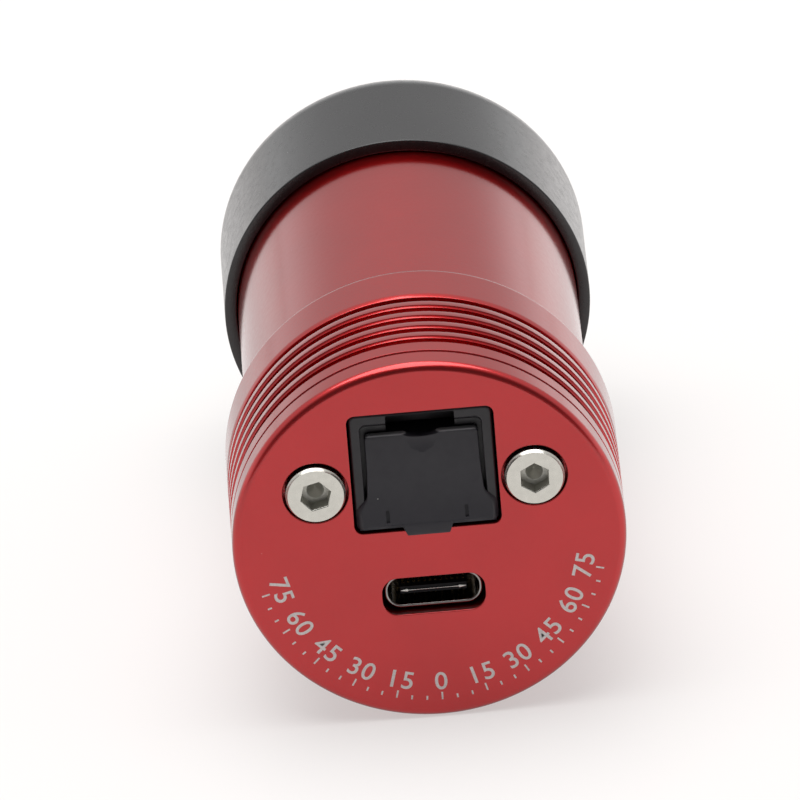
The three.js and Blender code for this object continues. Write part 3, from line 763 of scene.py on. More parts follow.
RED = red_anodised()
JACK = black_moulding("black_plastic", (0.0085, 0.0073, 0.0098), 0.42, 0.12, 0.006).material
RUBBER = plug_rubber()
CAP = cap_plastic()
STEEL_COLOUR = (0.6, 0.59, 0.54)
STEEL = metal("screw_steel", STEEL_COLOUR, 0.22, pitch=0.16)
SCREW_STEEL = metal("socket_screw_steel", STEEL_COLOUR, 0.22, pitch=0.16, inside=in_socket)
SHEET_STEEL = metal("shell_steel", (0.5, 0.49, 0.47), 0.24)
DARK_NICKEL = metal("dark_nickel", (0.3, 0.293, 0.282), 0.16)
SOCKET_PLASTIC = socket_plastic()
BRASS = metal("brass", (0.6, 0.42, 0.16), 0.3, pitch=0.2)
GOLD = metal("gold_contact", (0.72, 0.5, 0.2), 0.25)
BOARD = circuit_board()
CHIP = gloss("chip_black", (0.014, 0.014, 0.015), 0.5, 0.06, 0.006)
CERAMIC = gloss("ceramic_grey", (0.25, 0.23, 0.2), 0.6, 0.08, 0.006)
POLYIMIDE = gloss("polyimide", (0.42, 0.18, 0.03), 0.3, 1.0, 0.01)
SILICON = silicon()
GLASS = clear_glass()
GASKET = gloss("gasket_rubber", (0.012, 0.012, 0.012), 0.75, 0.1, 0.01)
BLACK_METAL = gloss("black_anodised", (0.018, 0.018, 0.02), 0.42, 0.08, 0.004)
PRINT = print_white()


# Body and cover

def rounded_hole(loop, start, end, edge=HOLE_EDGE):
    """Loops of a hole with rounded edges at both faces."""
    return edge_loops(loop, start, edge) + edge_loops(loop, end, edge, -1)[::-1]


def usb_outline(width, height, offset, y):
    """A long outline round the data socket's middle, grown by offset."""
    half = width / 2 + offset
    tall = height / 2 + offset
    low, high = USB_CENTRE - tall, USB_CENTRE + tall
    return rounded_box(-half, half, low, high, USB_CORNER + offset, y, USB_STEPS)


def make_cover():
    profile = turned_loops([
        (NOSE_BORE, 0, 0),
        (BODY_RADIUS, 0, REAR_EDGE),
        (BODY_RADIUS, SEAM - SEAM_WIDTH, SEAM_EDGE),
        (BODY_RADIUS - SEAM_DEPTH, SEAM, SEAM_EDGE),
        (SPIGOT_RADIUS, SEAM, 0),
        (SPIGOT_RADIUS, SPIGOT_END, FINE_EDGE),
        (NOSE_BORE, SPIGOT_END, 0),
    ])[1:-1]

    def port(offset, y):
        grow = PORT_GAP + offset
        half = JACK_WIDTH / 2 + grow
        return rounded_box(-half, half, jack.z0 - grow, jack.z1 + grow, PORT_CORNER + offset, y)

    def slot(offset, y):
        return usb_outline(USB_SLOT_WIDTH, USB_SLOT_HEIGHT, offset, y)

    holes = [rounded_hole(port, 0, SPIGOT_END), rounded_hole(slot, 0, SPIGOT_END)]
    for x in (-SCREW_X, SCREW_X):
        def bore(offset, y, x=x):
            return circle(COUNTERBORE + offset, y, x, SCREW_Z, SCREW_SIDES)

        near = edge_loops(bore, 0, HOLE_EDGE)
        shank = [circle(SHANK_HOLE, y, x, SCREW_Z, SCREW_SIDES) for y in (COUNTERBORE_END, SPIGOT_END)]
        holes.append(near + [bore(0, COUNTERBORE_END)] + shank)
    shell = Shell()
    shell.wall(profile)
    for loops in holes:
        shell.wall(loops)
    shell.flat(profile[0], *[loops[0] for loops in holes])
    shell.flat(profile[-1], *[loops[-1] for loops in holes])
    piece("back_plate", shell.mesh(), RED, ["rear_cover"])


def groove_corners():
    corners = []
    root = BODY_RADIUS - GROOVE_DEPTH
    for index in range(GROOVE_COUNT):
        start = SEAM + GROOVE_SETBACK + GROOVE_PITCH * index
        front_most = index == GROOVE_COUNT - 1
        end = start + (FRONT_GROOVE_WIDTH if front_most else GROOVE_WIDTH)
        corners += [(BODY_RADIUS, start, RIDGE_EDGE), (root, start, FINE_EDGE)]
        corners.append((root, end, FINE_EDGE))
        if not front_most:
            corners.append((BODY_RADIUS - GROOVE_BEVEL, end, 0))
            corners.append((BODY_RADIUS - GROOVE_BREAK, end + GROOVE_BEVEL - GROOVE_BREAK / 2, 0))
            corners.append((BODY_RADIUS, end + GROOVE_BEVEL, 0))
        else:
            corners.append((BODY_RADIUS - LAND_DROP, end, LAND_EDGE))
            corners.append((BODY_RADIUS, end + LAND_RUN, LAND_FILLET))
    return corners


def filter_thread():
    """Loops of the helical thread, from the front end inwards, fading out at both ends."""
    start = NOSE_END - THREAD_LEAD
    end = FILTER_SEAT + THREAD_LEAD
    count = round((start - end) / THREAD_PITCH * THREAD_STEPS)
    loops = []
    for step in range(count + 1):
        y = start + (end - start) * step / count
        fade = min(1, (start - y) / THREAD_PITCH, (y - end) / THREAD_PITCH)
        loop = []
        for index in range(SIDES):
            turn = index / SIDES
            phase = ((start - y) / THREAD_PITCH + turn) % 1
            radius = THREAD_ROOT - THREAD_DEPTH * fade * (1 - abs(2 * phase - 1))
            angle = 2 * math.pi * turn
            loop.append((radius * math.sin(angle), y, radius * math.cos(angle)))
        loops.append(loop)
    return loops


def make_body():
    rear = SEAM + SEAT_GAP
    outer = turned_loops([
        (BOARD_BORE, rear + BORE_LEAD, 0),
        (BOARD_BORE + BORE_LEAD, rear, 0),
        (BODY_RADIUS - SEAM_DEPTH, rear, SEAM_EDGE),
        (BODY_RADIUS, rear + SEAM_WIDTH, SEAM_EDGE),
        *groove_corners(),
        (BODY_RADIUS, BODY_END, SHOULDER_FILLET),
        (NOSE_RADIUS, BODY_END, FINE_EDGE),
        (NOSE_RADIUS, NOSE_END - NOSE_CHAMFER, FINE_EDGE),
        (NOSE_RADIUS - NOSE_CHAMFER, NOSE_END, FINE_EDGE),
        (THREAD_ROOT + THREAD_LEAD, NOSE_END, 0),
    ])
    inner = [circle(radius, y) for radius, y in (
        (THREAD_ROOT, FILTER_SEAT), (WINDOW_BORE, FILTER_SEAT), (WINDOW_BORE, WINDOW_SEAT))]

    def opening(offset, y):
        return circle(APERTURE + offset, y)

    aperture = rounded_hole(opening, FLANGE_REAR, WINDOW_SEAT, FINE_EDGE)
    nose_bore = [circle(NOSE_BORE, FLANGE_REAR), circle(NOSE_BORE, BOARD_SEAT)]
    board_bore = [circle(BOARD_BORE, BOARD_SEAT), circle(BOARD_BORE, rear + BORE_LEAD)]
    studs = []
    for x in (-SCREW_X, SCREW_X):
        studs.append([circle(SHANK_HOLE, y, x, SCREW_Z, CAD_SIDES) for y in (BOARD_SEAT, STUD_HOLE_END)])
    screw_holes = []
    for index in range(SENSOR_SCREW_COUNT):
        angle = math.pi * index / (SENSOR_SCREW_COUNT - 1)
        x = SENSOR_SCREW_CIRCLE * math.cos(angle)
        z = SENSOR_SCREW_CIRCLE * math.sin(angle)
        ends = (FLANGE_REAR, WINDOW_SEAT)
        screw_holes.append([circle(SENSOR_SCREW_HOLE, y, x, z, CAD_SIDES) for y in ends])
    shell = Shell()
    for loops in (outer + filter_thread() + inner, aperture, nose_bore, board_bore, *studs, *screw_holes):
        shell.wall(loops)
    shell.flat(inner[-1], aperture[-1], *[loops[1] for loops in screw_holes])
    shell.flat(nose_bore[0], aperture[0], *[loops[0] for loops in screw_holes])
    shell.flat(board_bore[0], nose_bore[-1], *[loops[0] for loops in studs])
    for loops in studs:
        shell.flat(loops[1])
    piece("body_shell", shell.mesh(), RED, ["housing"])


def make_cap():
    inner_radius = CAP_FRONT_RADIUS - (CAP_OUTER - CAP_BORE)
    loops = turned_loops([
        (NOSE_BORE, CAP_FLOOR, 0),
        (CAP_BORE, CAP_FLOOR, inner_radius),
        (CAP_BORE, cap.y0, CAP_RIM_EDGE),
        (CAP_OUTER, cap.y0, CAP_RIM_EDGE),
        (CAP_OUTER, cap.y1, CAP_FRONT_RADIUS),
        (NOSE_BORE, cap.y1, 0),
    ])
    piece("cap_shell", solid_mesh(loops), CAP, ["dust_cap"], "cap")


def make_screws():
    for side, x in (("left", -SCREW_X), ("right", SCREW_X)):
        rear = screw.y0
        where = {"x": x, "z": SCREW_Z, "count": SCREW_SIDES}
        outer = turned_loops([
            (HEX_FLATS, rear, 0),
            (SCREW_HEAD - SCREW_CHAMFER, rear, SCREW_EDGE),
            (SCREW_HEAD, rear + SCREW_CHAMFER_DEPTH, SCREW_EDGE),
            (SCREW_HEAD, SCREW_HEAD_FRONT, FINE_EDGE),
            (SCREW_SHANK, SCREW_HEAD_FRONT, FINE_EDGE),
            (SCREW_SHANK, screw.y1, SCREW_END_EDGE),
            (SCREW_SHANK / 2, screw.y1, 0),
        ], **where)[1:]
        socket = [hexagon(HEX_FLATS + 2 * inset, rear + depth, x, SCREW_Z)
                  for inset, depth in edge_steps(HEX_EDGE)]
        floor = rear + HEX_DEPTH
        socket.append(hexagon(HEX_FLATS, floor, x, SCREW_Z))
        cone = [circle(radius, y, **where) for radius, y in (
            (DRILL_RADIUS, floor), (DRILL_TIP, floor + DRILL_DEPTH))]
        shell = Shell()
        shell.wall(outer)
        shell.wall(socket)
        shell.wall(cone)
        shell.flat(outer[0], socket[0])
        shell.flat(socket[-1], cone[0])
        shell.flat(cone[-1])
        shell.flat(outer[-1])
        mesh = shell.mesh()
        centre = place(x, rear, SCREW_Z)
        turn = Matrix.Rotation(math.radians(SCREW_TURNS[side]), 4, "Y")
        mesh.transform(turn @ Matrix.Translation(-centre))
        piece(f"socket_screw_{side}", mesh, SCREW_STEEL,
              [f"cover_screw_{side}"], at=centre)


# Guide jack and its plug

def make_jack():
    half = JACK_WIDTH / 2

    def outline(inset, y):
        return rounded_box(-half + inset, half - inset, jack.z0 + inset, jack.z1 - inset,
                           JACK_CORNER, y)

    walls = edge_loops(outline, jack.y0, JACK_EDGE) + [outline(0, jack.y1)]
    lead = MOUTH_LEAD_TOP - MOUTH_TOP
    mouth = [rounded_box(-MOUTH_HALF - grow, MOUTH_HALF + grow, MOUTH_LOW - grow,
                         MOUTH_TOP + lead * rise, MOUTH_CORNER, jack.y0 + depth)
             for depth, grow, rise in MOUTH_LEVELS]
    front = jack.y0 - OVERRUN
    cuts = [
        solid_mesh(mouth),
        block(-CAVITY_HALF, CAVITY_HALF, front, CAVITY_END, CAVITY_LOW, CAVITY_TOP),
        block(-NOTCH_HALF, NOTCH_HALF, front, NOTCH_END, CAVITY_LOW, NOTCH_TOP, NOTCH_EDGE),
    ]
    wide = CONTACT_SLOT / 2
    low, high = [CAVITY_LOW + rise for rise in CONTACT_SLOT_RISE]
    for index in range(CONTACT_COUNT):
        x = CONTACT_PITCH * (index - (CONTACT_COUNT - 1) / 2)
        cuts.append(block(x - wide, x + wide, CAVITY_END - OVERRUN, jack.y1 + OVERRUN, low, high))
    mesh = combined(solid_mesh(walls), "DIFFERENCE", *cuts)
    piece("jack_body", mesh, JACK, ["guide_jack"])


def smooth_share(value, low, high):
    share = min(1, max(0, (value - low) / (high - low)))
    return share * share * (3 - 2 * share)


def plug_half(z):
    """Half the plug's width: it flares below the middle and fills the mouth at its foot."""
    return PLUG_LOWER_HALF - (PLUG_LOWER_HALF - PLUG_UPPER_HALF) * smooth_share(
        z, PLUG_FLARE_LOW, PLUG_FLARE_TOP)


def plug_face(z):
    """How far back the leaning face is at a height; it curves softly through the knee."""
    above = (PLUG_TOP_FACE - PLUG_KNEE_FACE) / (PLUG_TOP - PLUG_KNEE)
    below = (PLUG_KNEE_FACE - PLUG_FOOT_FACE) / (PLUG_KNEE - PLUG_FOOT)
    rise = z - PLUG_KNEE
    bend = abs(rise)
    if bend < KNEE_REACH:
        bend = (rise * rise + KNEE_REACH * KNEE_REACH) / (2 * KNEE_REACH)
    return PLUG_KNEE_FACE + (above + below) / 2 * rise + (above - below) / 2 * bend


def lap(z):
    """How much of the lap over the jack's rim the plug has at a height, from 0 to 1."""
    return 1 - smooth_share(z, LAP_FULL, LAP_TOP)


def plug_outline(inset, lip=PLUG_LIP, slope=0.0):
    """The plug's outline as (x, z) points, drawn in by inset.

    Its lower part laps over the jack by the lip, and is drawn in by slope there.
    """
    side = []
    top = PLUG_CORNER - inset
    foot = PLUG_CORNER / 2
    for step in range(CORNER_STEPS + 1):
        angle = math.pi / 2 * step / CORNER_STEPS
        x = PLUG_UPPER_HALF - PLUG_CORNER + top * math.sin(angle)
        side.append((x, PLUG_TOP - PLUG_CORNER + top * math.cos(angle)))
    rise = (PLUG_FLARE_TOP - PLUG_FLARE_LOW) / FLARE_STEPS
    levels = [PLUG_FLARE_LOW + rise * step for step in range(FLARE_STEPS + 1)]
    levels += [PLUG_KNEE + KNEE_REACH * (2 * step / KNEE_STEPS - 1) for step in range(KNEE_STEPS + 1)]
    for z in sorted(levels + [PLUG_SHELF], reverse=True):
        side.append((plug_half(z) + lip * lap(z) - inset - (slope - inset) * lap(z), z))
    for step in range(CORNER_STEPS + 1):
        angle = math.pi / 2 * (1 + step / CORNER_STEPS)
        x = PLUG_LOWER_HALF + lip - foot + (foot - slope) * math.sin(angle)
        side.append((x, PLUG_FOOT + foot + (foot - inset) * math.cos(angle)))
    return side + [(-x, z) for x, z in reversed(side)]


def dish(x, y, z, radius, reach):
    """The far side of a ball, up to an angle from its pole, as a closed cutter."""
    loops = []
    for step in range(1, DISH_STEPS + 1):
        angle = reach * step / DISH_STEPS
        loops.append(circle(radius * math.sin(angle), y + radius * math.cos(angle), x, z, SCREW_SIDES))
    return solid_mesh(loops)


def dish_radius(half, depth):
    """The radius of the ball that leaves a dish so wide and deep."""
    return (half * half + depth * depth) / (2 * depth)


def make_flap():
    """The plug's flap: a leaning face with a soft edge, lapped over the jack's rim below."""
    rim = jack.y0 - LAP_GAP
    loops = []
    for step, (inset, depth) in enumerate(edge_steps(PLUG_EDGE)):
        share = step / FILLET_STEPS
        points = []
        for x, z in plug_outline(inset, slope=LAP_SLOPE * (1 - share)):
            lapped = (rim - plug_face(z)) * smooth_share(share, 0, 1)
            points.append((x, plug_face(z) + depth + (lapped - depth) * lap(z), z))
        loops.append(points)
    for lip in (PLUG_LIP, 0):
        loops.append([(x, max(edge[1] + LAP_STEP, rim + LAP_LEDGE), z)
                      for (x, z), edge in zip(plug_outline(0, lip), loops[FILLET_STEPS])])
    loops.append([(x, PLUG_BACK, z) for x, z in plug_outline(0, 0)])
    shell = Shell()
    shell.wall(loops)
    shell.flat(loops[-1])
    face = loops[0]
    for index in range(len(face) // 2 - 1):
        shell.flat([face[index], face[index + 1], face[-2 - index], face[-1 - index]])
    wide = JACK_WIDTH / 2 + OVERRUN
    room_for_rim = block(
        -wide, wide, PLUG_RIM_BACK, PLUG_BACK + OVERRUN, PLUG_FOOT - OVERRUN, PLUG_SHELF)
    return combined(shell.mesh(), "DIFFERENCE", room_for_rim)


def make_tongue():
    root = PLUG_FOOT + TONGUE_ROOT
    rise = PLUG_FOOT + TONGUE_RISE
    bend = TONGUE_TIP + TONGUE_BEND
    side_line = [
        (TONGUE_DEPTH, root),
        (plug_face(root) + TONGUE_DEPTH, root),
        (plug_face(rise) - TONGUE_PROUD, rise),
        (plug_face(bend) - TONGUE_PROUD, bend),
        (plug_face(bend) + TONGUE_TIP_DRAW, TONGUE_TIP),
        (TONGUE_BACK, TONGUE_TIP),
        (TONGUE_BACK, PLUG_FOOT + TONGUE_DEPTH),
        (TONGUE_DEPTH, rise),
    ]

    def half(z):
        share = smooth_share(z, TONGUE_TIP, TONGUE_TIP + TONGUE_TAPER)
        return TONGUE_TIP_HALF + (TONGUE_HALF - TONGUE_TIP_HALF) * share

    loops = [[(side * half(z), y, z) for y, z in side_line] for side in (-1, 1)]
    return bevelled(solid_mesh(loops), TONGUE_EDGE, 3)


def thumb_notch():
    radius = dish_radius(THUMB_HALF, THUMB_DROP)
    levels = [(grow, PLUG_TOP_FACE + depth) for grow, depth in THUMB_LEVELS]
    levels.append((0, PLUG_BACK + OVERRUN))
    loops = [circle(radius + grow, y, 0, PLUG_TOP - THUMB_DROP + radius) for grow, y in levels]
    return solid_mesh(loops)


def thumb_dimple():
    lean = math.atan2(PLUG_TOP_FACE - PLUG_KNEE_FACE, PLUG_TOP - PLUG_KNEE)
    radius = dish_radius(DIMPLE_HALF, DIMPLE_DEPTH)
    reach = radius - DIMPLE_DEPTH
    y = plug_face(DIMPLE_Z) - reach * math.cos(lean)
    return dish(0, y, DIMPLE_Z + reach * math.sin(lean), radius, 2 * math.asin(DIMPLE_HALF / radius))


def grip_slot(x):
    corners = [(-1, -GRIP_LEAD), (1, -GRIP_LEAD), (1, GRIP_DEPTH), (-1, GRIP_DEPTH)]
    loops = [[(x + side * GRIP_WIDTH / 2, plug_face(z) + depth, z) for side, depth in corners]
             for z in (GRIP_LOW, GRIP_TOP)]
    return solid_mesh(loops)


def make_plug():
    half = CAVITY_HALF - INSERT_GAP
    insert = block(-half, half, PLUG_TOP_FACE + INSERT_START, INSERT_END,
                   CAVITY_LOW + INSERT_GAP, PLUG_TOP - INSERT_DROP, INSERT_EDGE)
    mesh = combined(make_flap(), "UNION", insert, make_tongue())
    cuts = [thumb_notch(), thumb_dimple(), grip_slot(-GRIP_X), grip_slot(GRIP_X)]
    mesh = combined(mesh, "DIFFERENCE", *cuts)
    piece("plug_body", mesh, RUBBER, ["guide_plug"], "plug")


# Data socket

def make_usb():
    def outline(inset, y):
        return usb_outline(USB_WIDTH, USB_HEIGHT, -inset, y)

    lip = edge_loops(outline, usb.y0, USB_LIP)[::-1]
    inner = [outline(USB_WALL - inset, usb.y0 + depth) for inset, depth in edge_steps(USB_LIP)]
    loops = [outline(0, usb.y1)] + lip + inner + [outline(USB_WALL, usb.y1)]
    piece("socket_shell", tube_mesh(loops), DARK_NICKEL, ["usb_shell"])

    tip = usb.y0 + USB_TIP
    rail = USB_TONGUE_WIDTH / 2 + USB_RAIL_GAP
    upper = USB_ARROW + [(-x, z) for x, z in reversed(USB_ARROW)]
    arrow = upper + [(x, -z) for x, z in reversed(upper)]
    plate = [[(x, y, USB_CENTRE + z) for x, z in arrow] for y in (tip - USB_PLATE, tip)]
    parts = [bevelled(solid_mesh(plate), USB_PLATE_EDGE)]
    for x0 in (-rail - USB_RAIL_WIDTH, rail):
        parts.append(block(x0, x0 + USB_RAIL_WIDTH, tip + USB_RAIL_START, USB_BLOCK - USB_RAIL_GAP,
                           USB_CENTRE - USB_RAIL_HALF, USB_CENTRE + USB_RAIL_HALF, USB_RAIL_EDGE))
    levels = (USB_BLOCK - USB_COLLAR_START, USB_BLOCK - USB_COLLAR_START + USB_COLLAR)
    ring, hole = [
        [rounded_box(-half, half, USB_CENTRE - tall, USB_CENTRE + tall, corner, y) for y in levels]
        for half, tall, corner in ((rail + USB_COLLAR_WIDTH, USB_COLLAR_HALF, USB_COLLAR_CORNER),
                                   (rail, USB_COLLAR_HOLE, USB_RAIL_EDGE))]
    collar = Shell()
    collar.wall(ring)
    collar.wall(hole)
    collar.flat(ring[0], hole[0])
    collar.flat(ring[1], hole[1])
    mesh = combined(collar.mesh(), "UNION", *parts)
    piece("socket_midplate", mesh, SHEET_STEEL, ["usb_ground_frame"])

    pads = bmesh.new()
    for index in range(USB_PAD_COUNT):
        x = USB_PAD_PITCH * (index - (USB_PAD_COUNT - 1) / 2)
        for side in (-1, 1):
            z = USB_CENTRE + side * (USB_TONGUE_THICKNESS / 2 + USB_PAD_LIFT)
            pads.from_mesh(block(x - USB_PAD_HALF, x + USB_PAD_HALF, tip + USB_PAD_START,
                                 USB_BLOCK - USB_PAD_END, z - USB_PAD_THICK, z + USB_PAD_THICK,
                                 USB_PAD_EDGE))
    piece("socket_contacts", mesh_of(pads), GOLD)


# Front window

def make_window():
    radius = window.round_radius()
    glass = solid_mesh(turned_loops([
        (1, window.y0, 0), (radius, window.y0, WINDOW_EDGE), (radius, window.y1, WINDOW_EDGE),
        (1, window.y1, 0)])[1:-1])
    piece("window_glass", glass, GLASS, ["protective_window"])

    def washer(span, width, edge):
        outer, inner = WINDOW_RING_RADIUS, WINDOW_RING_RADIUS - width
        corners = [(outer, span.y0), (outer, span.y1), (inner, span.y1), (inner, span.y0)]
        line = filleted([(*corner, edge) for corner in corners], closed=True)
        return tube_mesh([circle(radius, y) for radius, y in line])

    reach = WINDOW_RING_RADIUS + OVERRUN
    slot = block(-reach, reach, window_ring.y1 - SPANNER_SLOT_DEPTH, window_ring.y1 + OVERRUN,
                 -SPANNER_SLOT_HALF, SPANNER_SLOT_HALF)
    ring = washer(window_ring, WINDOW_RING_WIDTH, WINDOW_EDGE)
    ring = combined(ring, "DIFFERENCE", slot)
    piece("retaining_ring", ring, BLACK_METAL, ["window_ring"])
    seal = washer(gasket, SEAL_WIDTH, SEAL_EDGE)
    piece("seal_ring", seal, GASKET, ["window_gasket"])


# Inner pieces keep their CAD meshes and get softened edges and a finish

INNER_FINISHES = {
    "main_board": BOARD, "sensor_board": BOARD,
    "usb_controller": CHIP, "frame_memory": CHIP, "voltage_regulator": CHIP,
    "main_flex_socket": JACK, "sensor_flex_socket": JACK, "usb_insulator": SOCKET_PLASTIC,
    "clock_crystal": SHEET_STEEL, "power_inductor": CERAMIC, "sensor_package": CERAMIC,
    "sensor_die": SILICON, "sensor_glass": GLASS, "flex_cable": POLYIMIDE,
    "standoff_left": BRASS, "standoff_right": BRASS,
}
for number in range(1, SENSOR_SCREW_COUNT + 1):
    INNER_FINISHES[f"sensor_spacer_{number}"] = BRASS
    INNER_FINISHES[f"sensor_screw_{number}"] = STEEL
for number in range(1, CONTACT_COUNT + 1):
    INNER_FINISHES[f"jack_contact_{number}"] = GOLD


def finish_inner_pieces():
    for node, material in INNER_FINISHES.items():
        target = frame["nodes"][node]
        for slot in target.material_slots:
            slot.material = material
        if not target.material_slots:
            target.data.materials.append(material)
        add_bevel(target, INNER_EDGE)


# A plain angle scale printed on the rear face

SCALE_RADIUS = 16.2
SCALE_LONG_TICK = 0.75
SCALE_SHORT_TICK = 0.4
SCALE_TICK_WIDTH = 0.16
SCALE_REACH = 75
SCALE_NUMBER_STEP = 15
SCALE_TICK_STEP = 5
NUMBER_HEIGHT = 1.75
NUMBER_SHARE = 0.7
NUMBER_WEIGHT = 0.02
NUMBER_SPACING = 1.1
NUMBER_STEPS = 6
NUMBER_RADIUS = 15.15
PRINT_THICKNESS = 0.012


def turned_mark(mesh, degrees, radius):
    """Turns a flat drawing, foot outwards, to its place on the rear face."""
    upright = Matrix(((1, 0, 0, 0), (0, 0, -1, 0), (0, 1, 0, 0), (0, 0, 0, 1)))
    drop = Matrix.Translation((0, -radius * MM, 0))
    swing = Matrix.Rotation(math.radians(degrees), 4, "Z")
    mesh.transform(Matrix.Translation(place(0, 0, 0)) @ upright @ swing @ drop)


def number_mesh(text):
    letters = bpy.data.curves.new("number", "FONT")
    letters.body = text
    letters.size = NUMBER_HEIGHT / NUMBER_SHARE * MM
    letters.align_x = "CENTER"
    letters.extrude = PRINT_THICKNESS * MM
    letters.offset = NUMBER_WEIGHT * MM
    letters.space_character = NUMBER_SPACING
    letters.resolution_u = NUMBER_STEPS
    made = new_object("number", letters)
    bpy.context.view_layer.update()
    return applied(made)


def tick_mesh(length):
    wide = SCALE_TICK_WIDTH / 2 * MM
    thick = PRINT_THICKNESS * MM
    work = bmesh.new()
    bmesh.ops.create_cube(work, size=2)
    bmesh.ops.scale(work, verts=work.verts[:], vec=(wide, length / 2 * MM, thick))
    bmesh.ops.translate(work, verts=work.verts[:], vec=(0, length / 2 * MM, 0))
    return mesh_of(work)


def make_scale():
    work = bmesh.new()
    for degrees in range(-SCALE_REACH, SCALE_REACH + 1, SCALE_TICK_STEP):
        numbered = degrees % SCALE_NUMBER_STEP == 0
        tick = tick_mesh(SCALE_LONG_TICK if numbered else SCALE_SHORT_TICK)
        turned_mark(tick, degrees, SCALE_RADIUS)
        work.from_mesh(tick)
        if numbered:
            number = number_mesh(str(abs(degrees)))
            turned_mark(number, degrees, NUMBER_RADIUS)
            work.from_mesh(number)
    piece("angle_scale", mesh_of(work), PRINT)


# Floor, light and the photograph's view

CAMERA_PLACE = (-7.934, -1549.054, 783.662)
CAMERA_AZIMUTH = 0.2330
CAMERA_ELEVATION = 26.4029
CAMERA_ROLL = -4.7421
CAMERA_LENS = 857.49
CAMERA_SENSOR = 36
CAMERA_CLIP = (0.1, 20)
FLOOR_SIZE = 6
FLOOR_FRONT = -0.3
FLOOR_DROP = 0.08
FLOOR_GLOW = 0.5
FLOOR_COLOUR = (0.74, 0.72, 0.71, 1)
FLOOR_GLOW_COLOUR = (1, 0.975, 0.965, 1)
FLOOR_NEAR = 0.02
FLOOR_FAR = 0.15
LAMP_PLACE = (-0.05, 0.05, 0.9)
LAMP_WIDTH = 0.9
LAMP_DEPTH = 0.92
LAMP_POWER = 8.8
DARK_EDGE = (0.1, 0.6)
DARK_SHARE = 0.16
FLOOR_FAR_STRENGTH = 1.55
HORIZON_STRENGTH = 1.32
HIGH_STRENGTH = 0.85
HIGH_EDGE = 0.32
RIGHT_SKY = (0.36, 0.44)
RIGHT_SKY_GAIN = 1.12
RIGHT_FLOOR = (0.01, 0.05)
RIGHT_FLOOR_GAIN = 1.33


def seen_directly(nodes):
    """One for what the camera sees, also in metal and through glass, else zero."""
    path = nodes.add("ShaderNodeLightPath").outputs
    seen = nodes.math("MAXIMUM", path["Is Camera Ray"], path["Is Glossy Ray"])
    return nodes.math("MAXIMUM", seen, path["Is Transmission Ray"])


def white_to_camera(nodes, strength):
    """A strength of one for the camera and the given one for other light."""
    seen = nodes.add("ShaderNodeLightPath").outputs["Is Camera Ray"]
    return nodes.ranged(seen, strength, 1.0, 0, 1)


def mixed(nodes, share, first, second):
    inputs = {"Fac": share, 1: first.outputs[0], 2: second.outputs[0]}
    return nodes.add("ShaderNodeMixShader", inputs)


def make_floor():
    half = FLOOR_SIZE / 2
    mesh = bpy.data.meshes.new("floor")
    corners = [(-half, FLOOR_FRONT, 0), (half, FLOOR_FRONT, 0), (half, half, 0), (-half, half, 0)]
    mesh.from_pydata(corners, [], [(0, 1, 2, 3)])
    floor = new_object("floor", mesh)
    floor.location.z = -FLOOR_DROP * MM
    material = bpy.data.materials.new("pale_floor")
    material.use_nodes = True
    nodes = Nodes(material.node_tree)
    nodes.tree.nodes.clear()
    axes = nodes.axes(nodes.add("ShaderNodeTexCoord").outputs["Object"])
    far = nodes.ranged(axes["Y"], 1, FLOOR_FAR_STRENGTH, FLOOR_NEAR, FLOOR_FAR, SOFT)
    right = nodes.ranged(axes["X"], 1, RIGHT_FLOOR_GAIN, *RIGHT_FLOOR, SOFT)
    strength = white_to_camera(nodes, nodes.math("MULTIPLY", far, right))
    glow = nodes.add("ShaderNodeEmission", {"Color": FLOOR_GLOW_COLOUR, "Strength": strength})
    diffuse = nodes.add("ShaderNodeBsdfDiffuse", {"Color": FLOOR_COLOUR})
    top = mixed(nodes, nodes.math("MULTIPLY", seen_directly(nodes), FLOOR_GLOW), diffuse, glow)
    below = nodes.add("ShaderNodeNewGeometry").outputs["Backfacing"]
    both = mixed(nodes, below, top, nodes.add("ShaderNodeBsdfTransparent"))
    nodes.add("ShaderNodeOutputMaterial", {"Surface": both.outputs["Shader"]})
    mesh.materials.append(material)


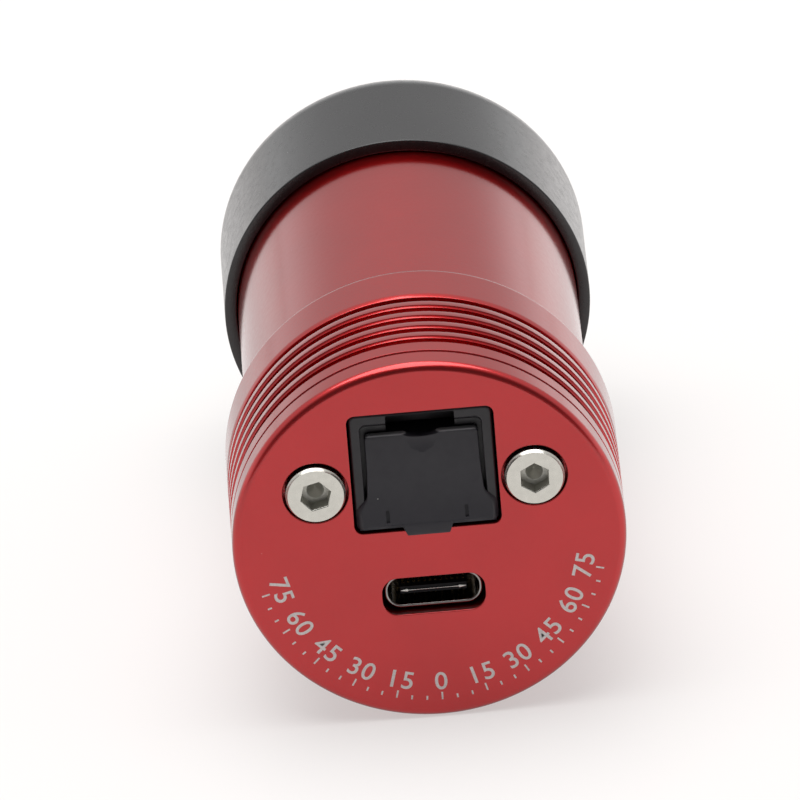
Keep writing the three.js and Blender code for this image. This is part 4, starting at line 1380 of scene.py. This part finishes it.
def make_world():
    """Pale all round and palest near the floor, but dark behind the photographer."""
    world = bpy.data.worlds.new("studio")
    bpy.context.scene.world = world
    world.use_nodes = True
    nodes = Nodes(world.node_tree)
    axes = nodes.axes(nodes.add("ShaderNodeTexCoord").outputs["Generated"])
    right = nodes.ranged(axes["X"], 1, RIGHT_SKY_GAIN, *RIGHT_SKY, SOFT)
    horizon = nodes.math("MULTIPLY", right, HORIZON_STRENGTH)
    height = nodes.ranged(axes["Z"], horizon, HIGH_STRENGTH, 0, HIGH_EDGE, SOFT)
    dark = nodes.ranged(nodes.math("MULTIPLY", axes["Y"], -1), 1, DARK_SHARE, *DARK_EDGE, SOFT)
    strength = white_to_camera(nodes, nodes.math("MULTIPLY", height, dark))
    sky = nodes.tree.nodes["Background"]
    nodes.give(sky.inputs["Color"], (1, 1, 1, 1))
    nodes.give(sky.inputs["Strength"], strength)


def make_lamp():
    light = bpy.data.lights.new("softbox", "AREA")
    light.shape = "RECTANGLE"
    light.size = LAMP_WIDTH
    light.size_y = LAMP_DEPTH
    light.energy = LAMP_POWER
    lamp = new_object("softbox", light)
    lamp.location = LAMP_PLACE
    aim = Vector((0, 0, AXIS_Z)) - lamp.location
    lamp.rotation_euler = aim.to_track_quat("-Z", "Y").to_euler()


def make_camera():
    lens = bpy.data.cameras.new("view")
    lens.lens = CAMERA_LENS
    lens.sensor_width = CAMERA_SENSOR
    lens.clip_start, lens.clip_end = CAMERA_CLIP
    view = new_object("view", lens)
    azimuth, elevation = math.radians(CAMERA_AZIMUTH), math.radians(CAMERA_ELEVATION)
    flat = math.cos(elevation)
    ahead = Vector((math.sin(azimuth) * flat, math.cos(azimuth) * flat, -math.sin(elevation)))
    level = ahead.to_track_quat("-Z", "Y").to_matrix().to_4x4()
    roll = Matrix.Rotation(math.radians(CAMERA_ROLL), 4, "Z")
    view.matrix_world = Matrix.Translation(place(*CAMERA_PLACE)) @ level @ roll
    bpy.context.scene.camera = view


make_camera()
make_floor()
make_world()
make_lamp()
make_cover()
make_body()
make_cap()
make_screws()
make_jack()
make_plug()
make_usb()
make_window()
make_scale()
finish_inner_pieces()

bpy.context.scene.view_settings.view_transform = "Standard"
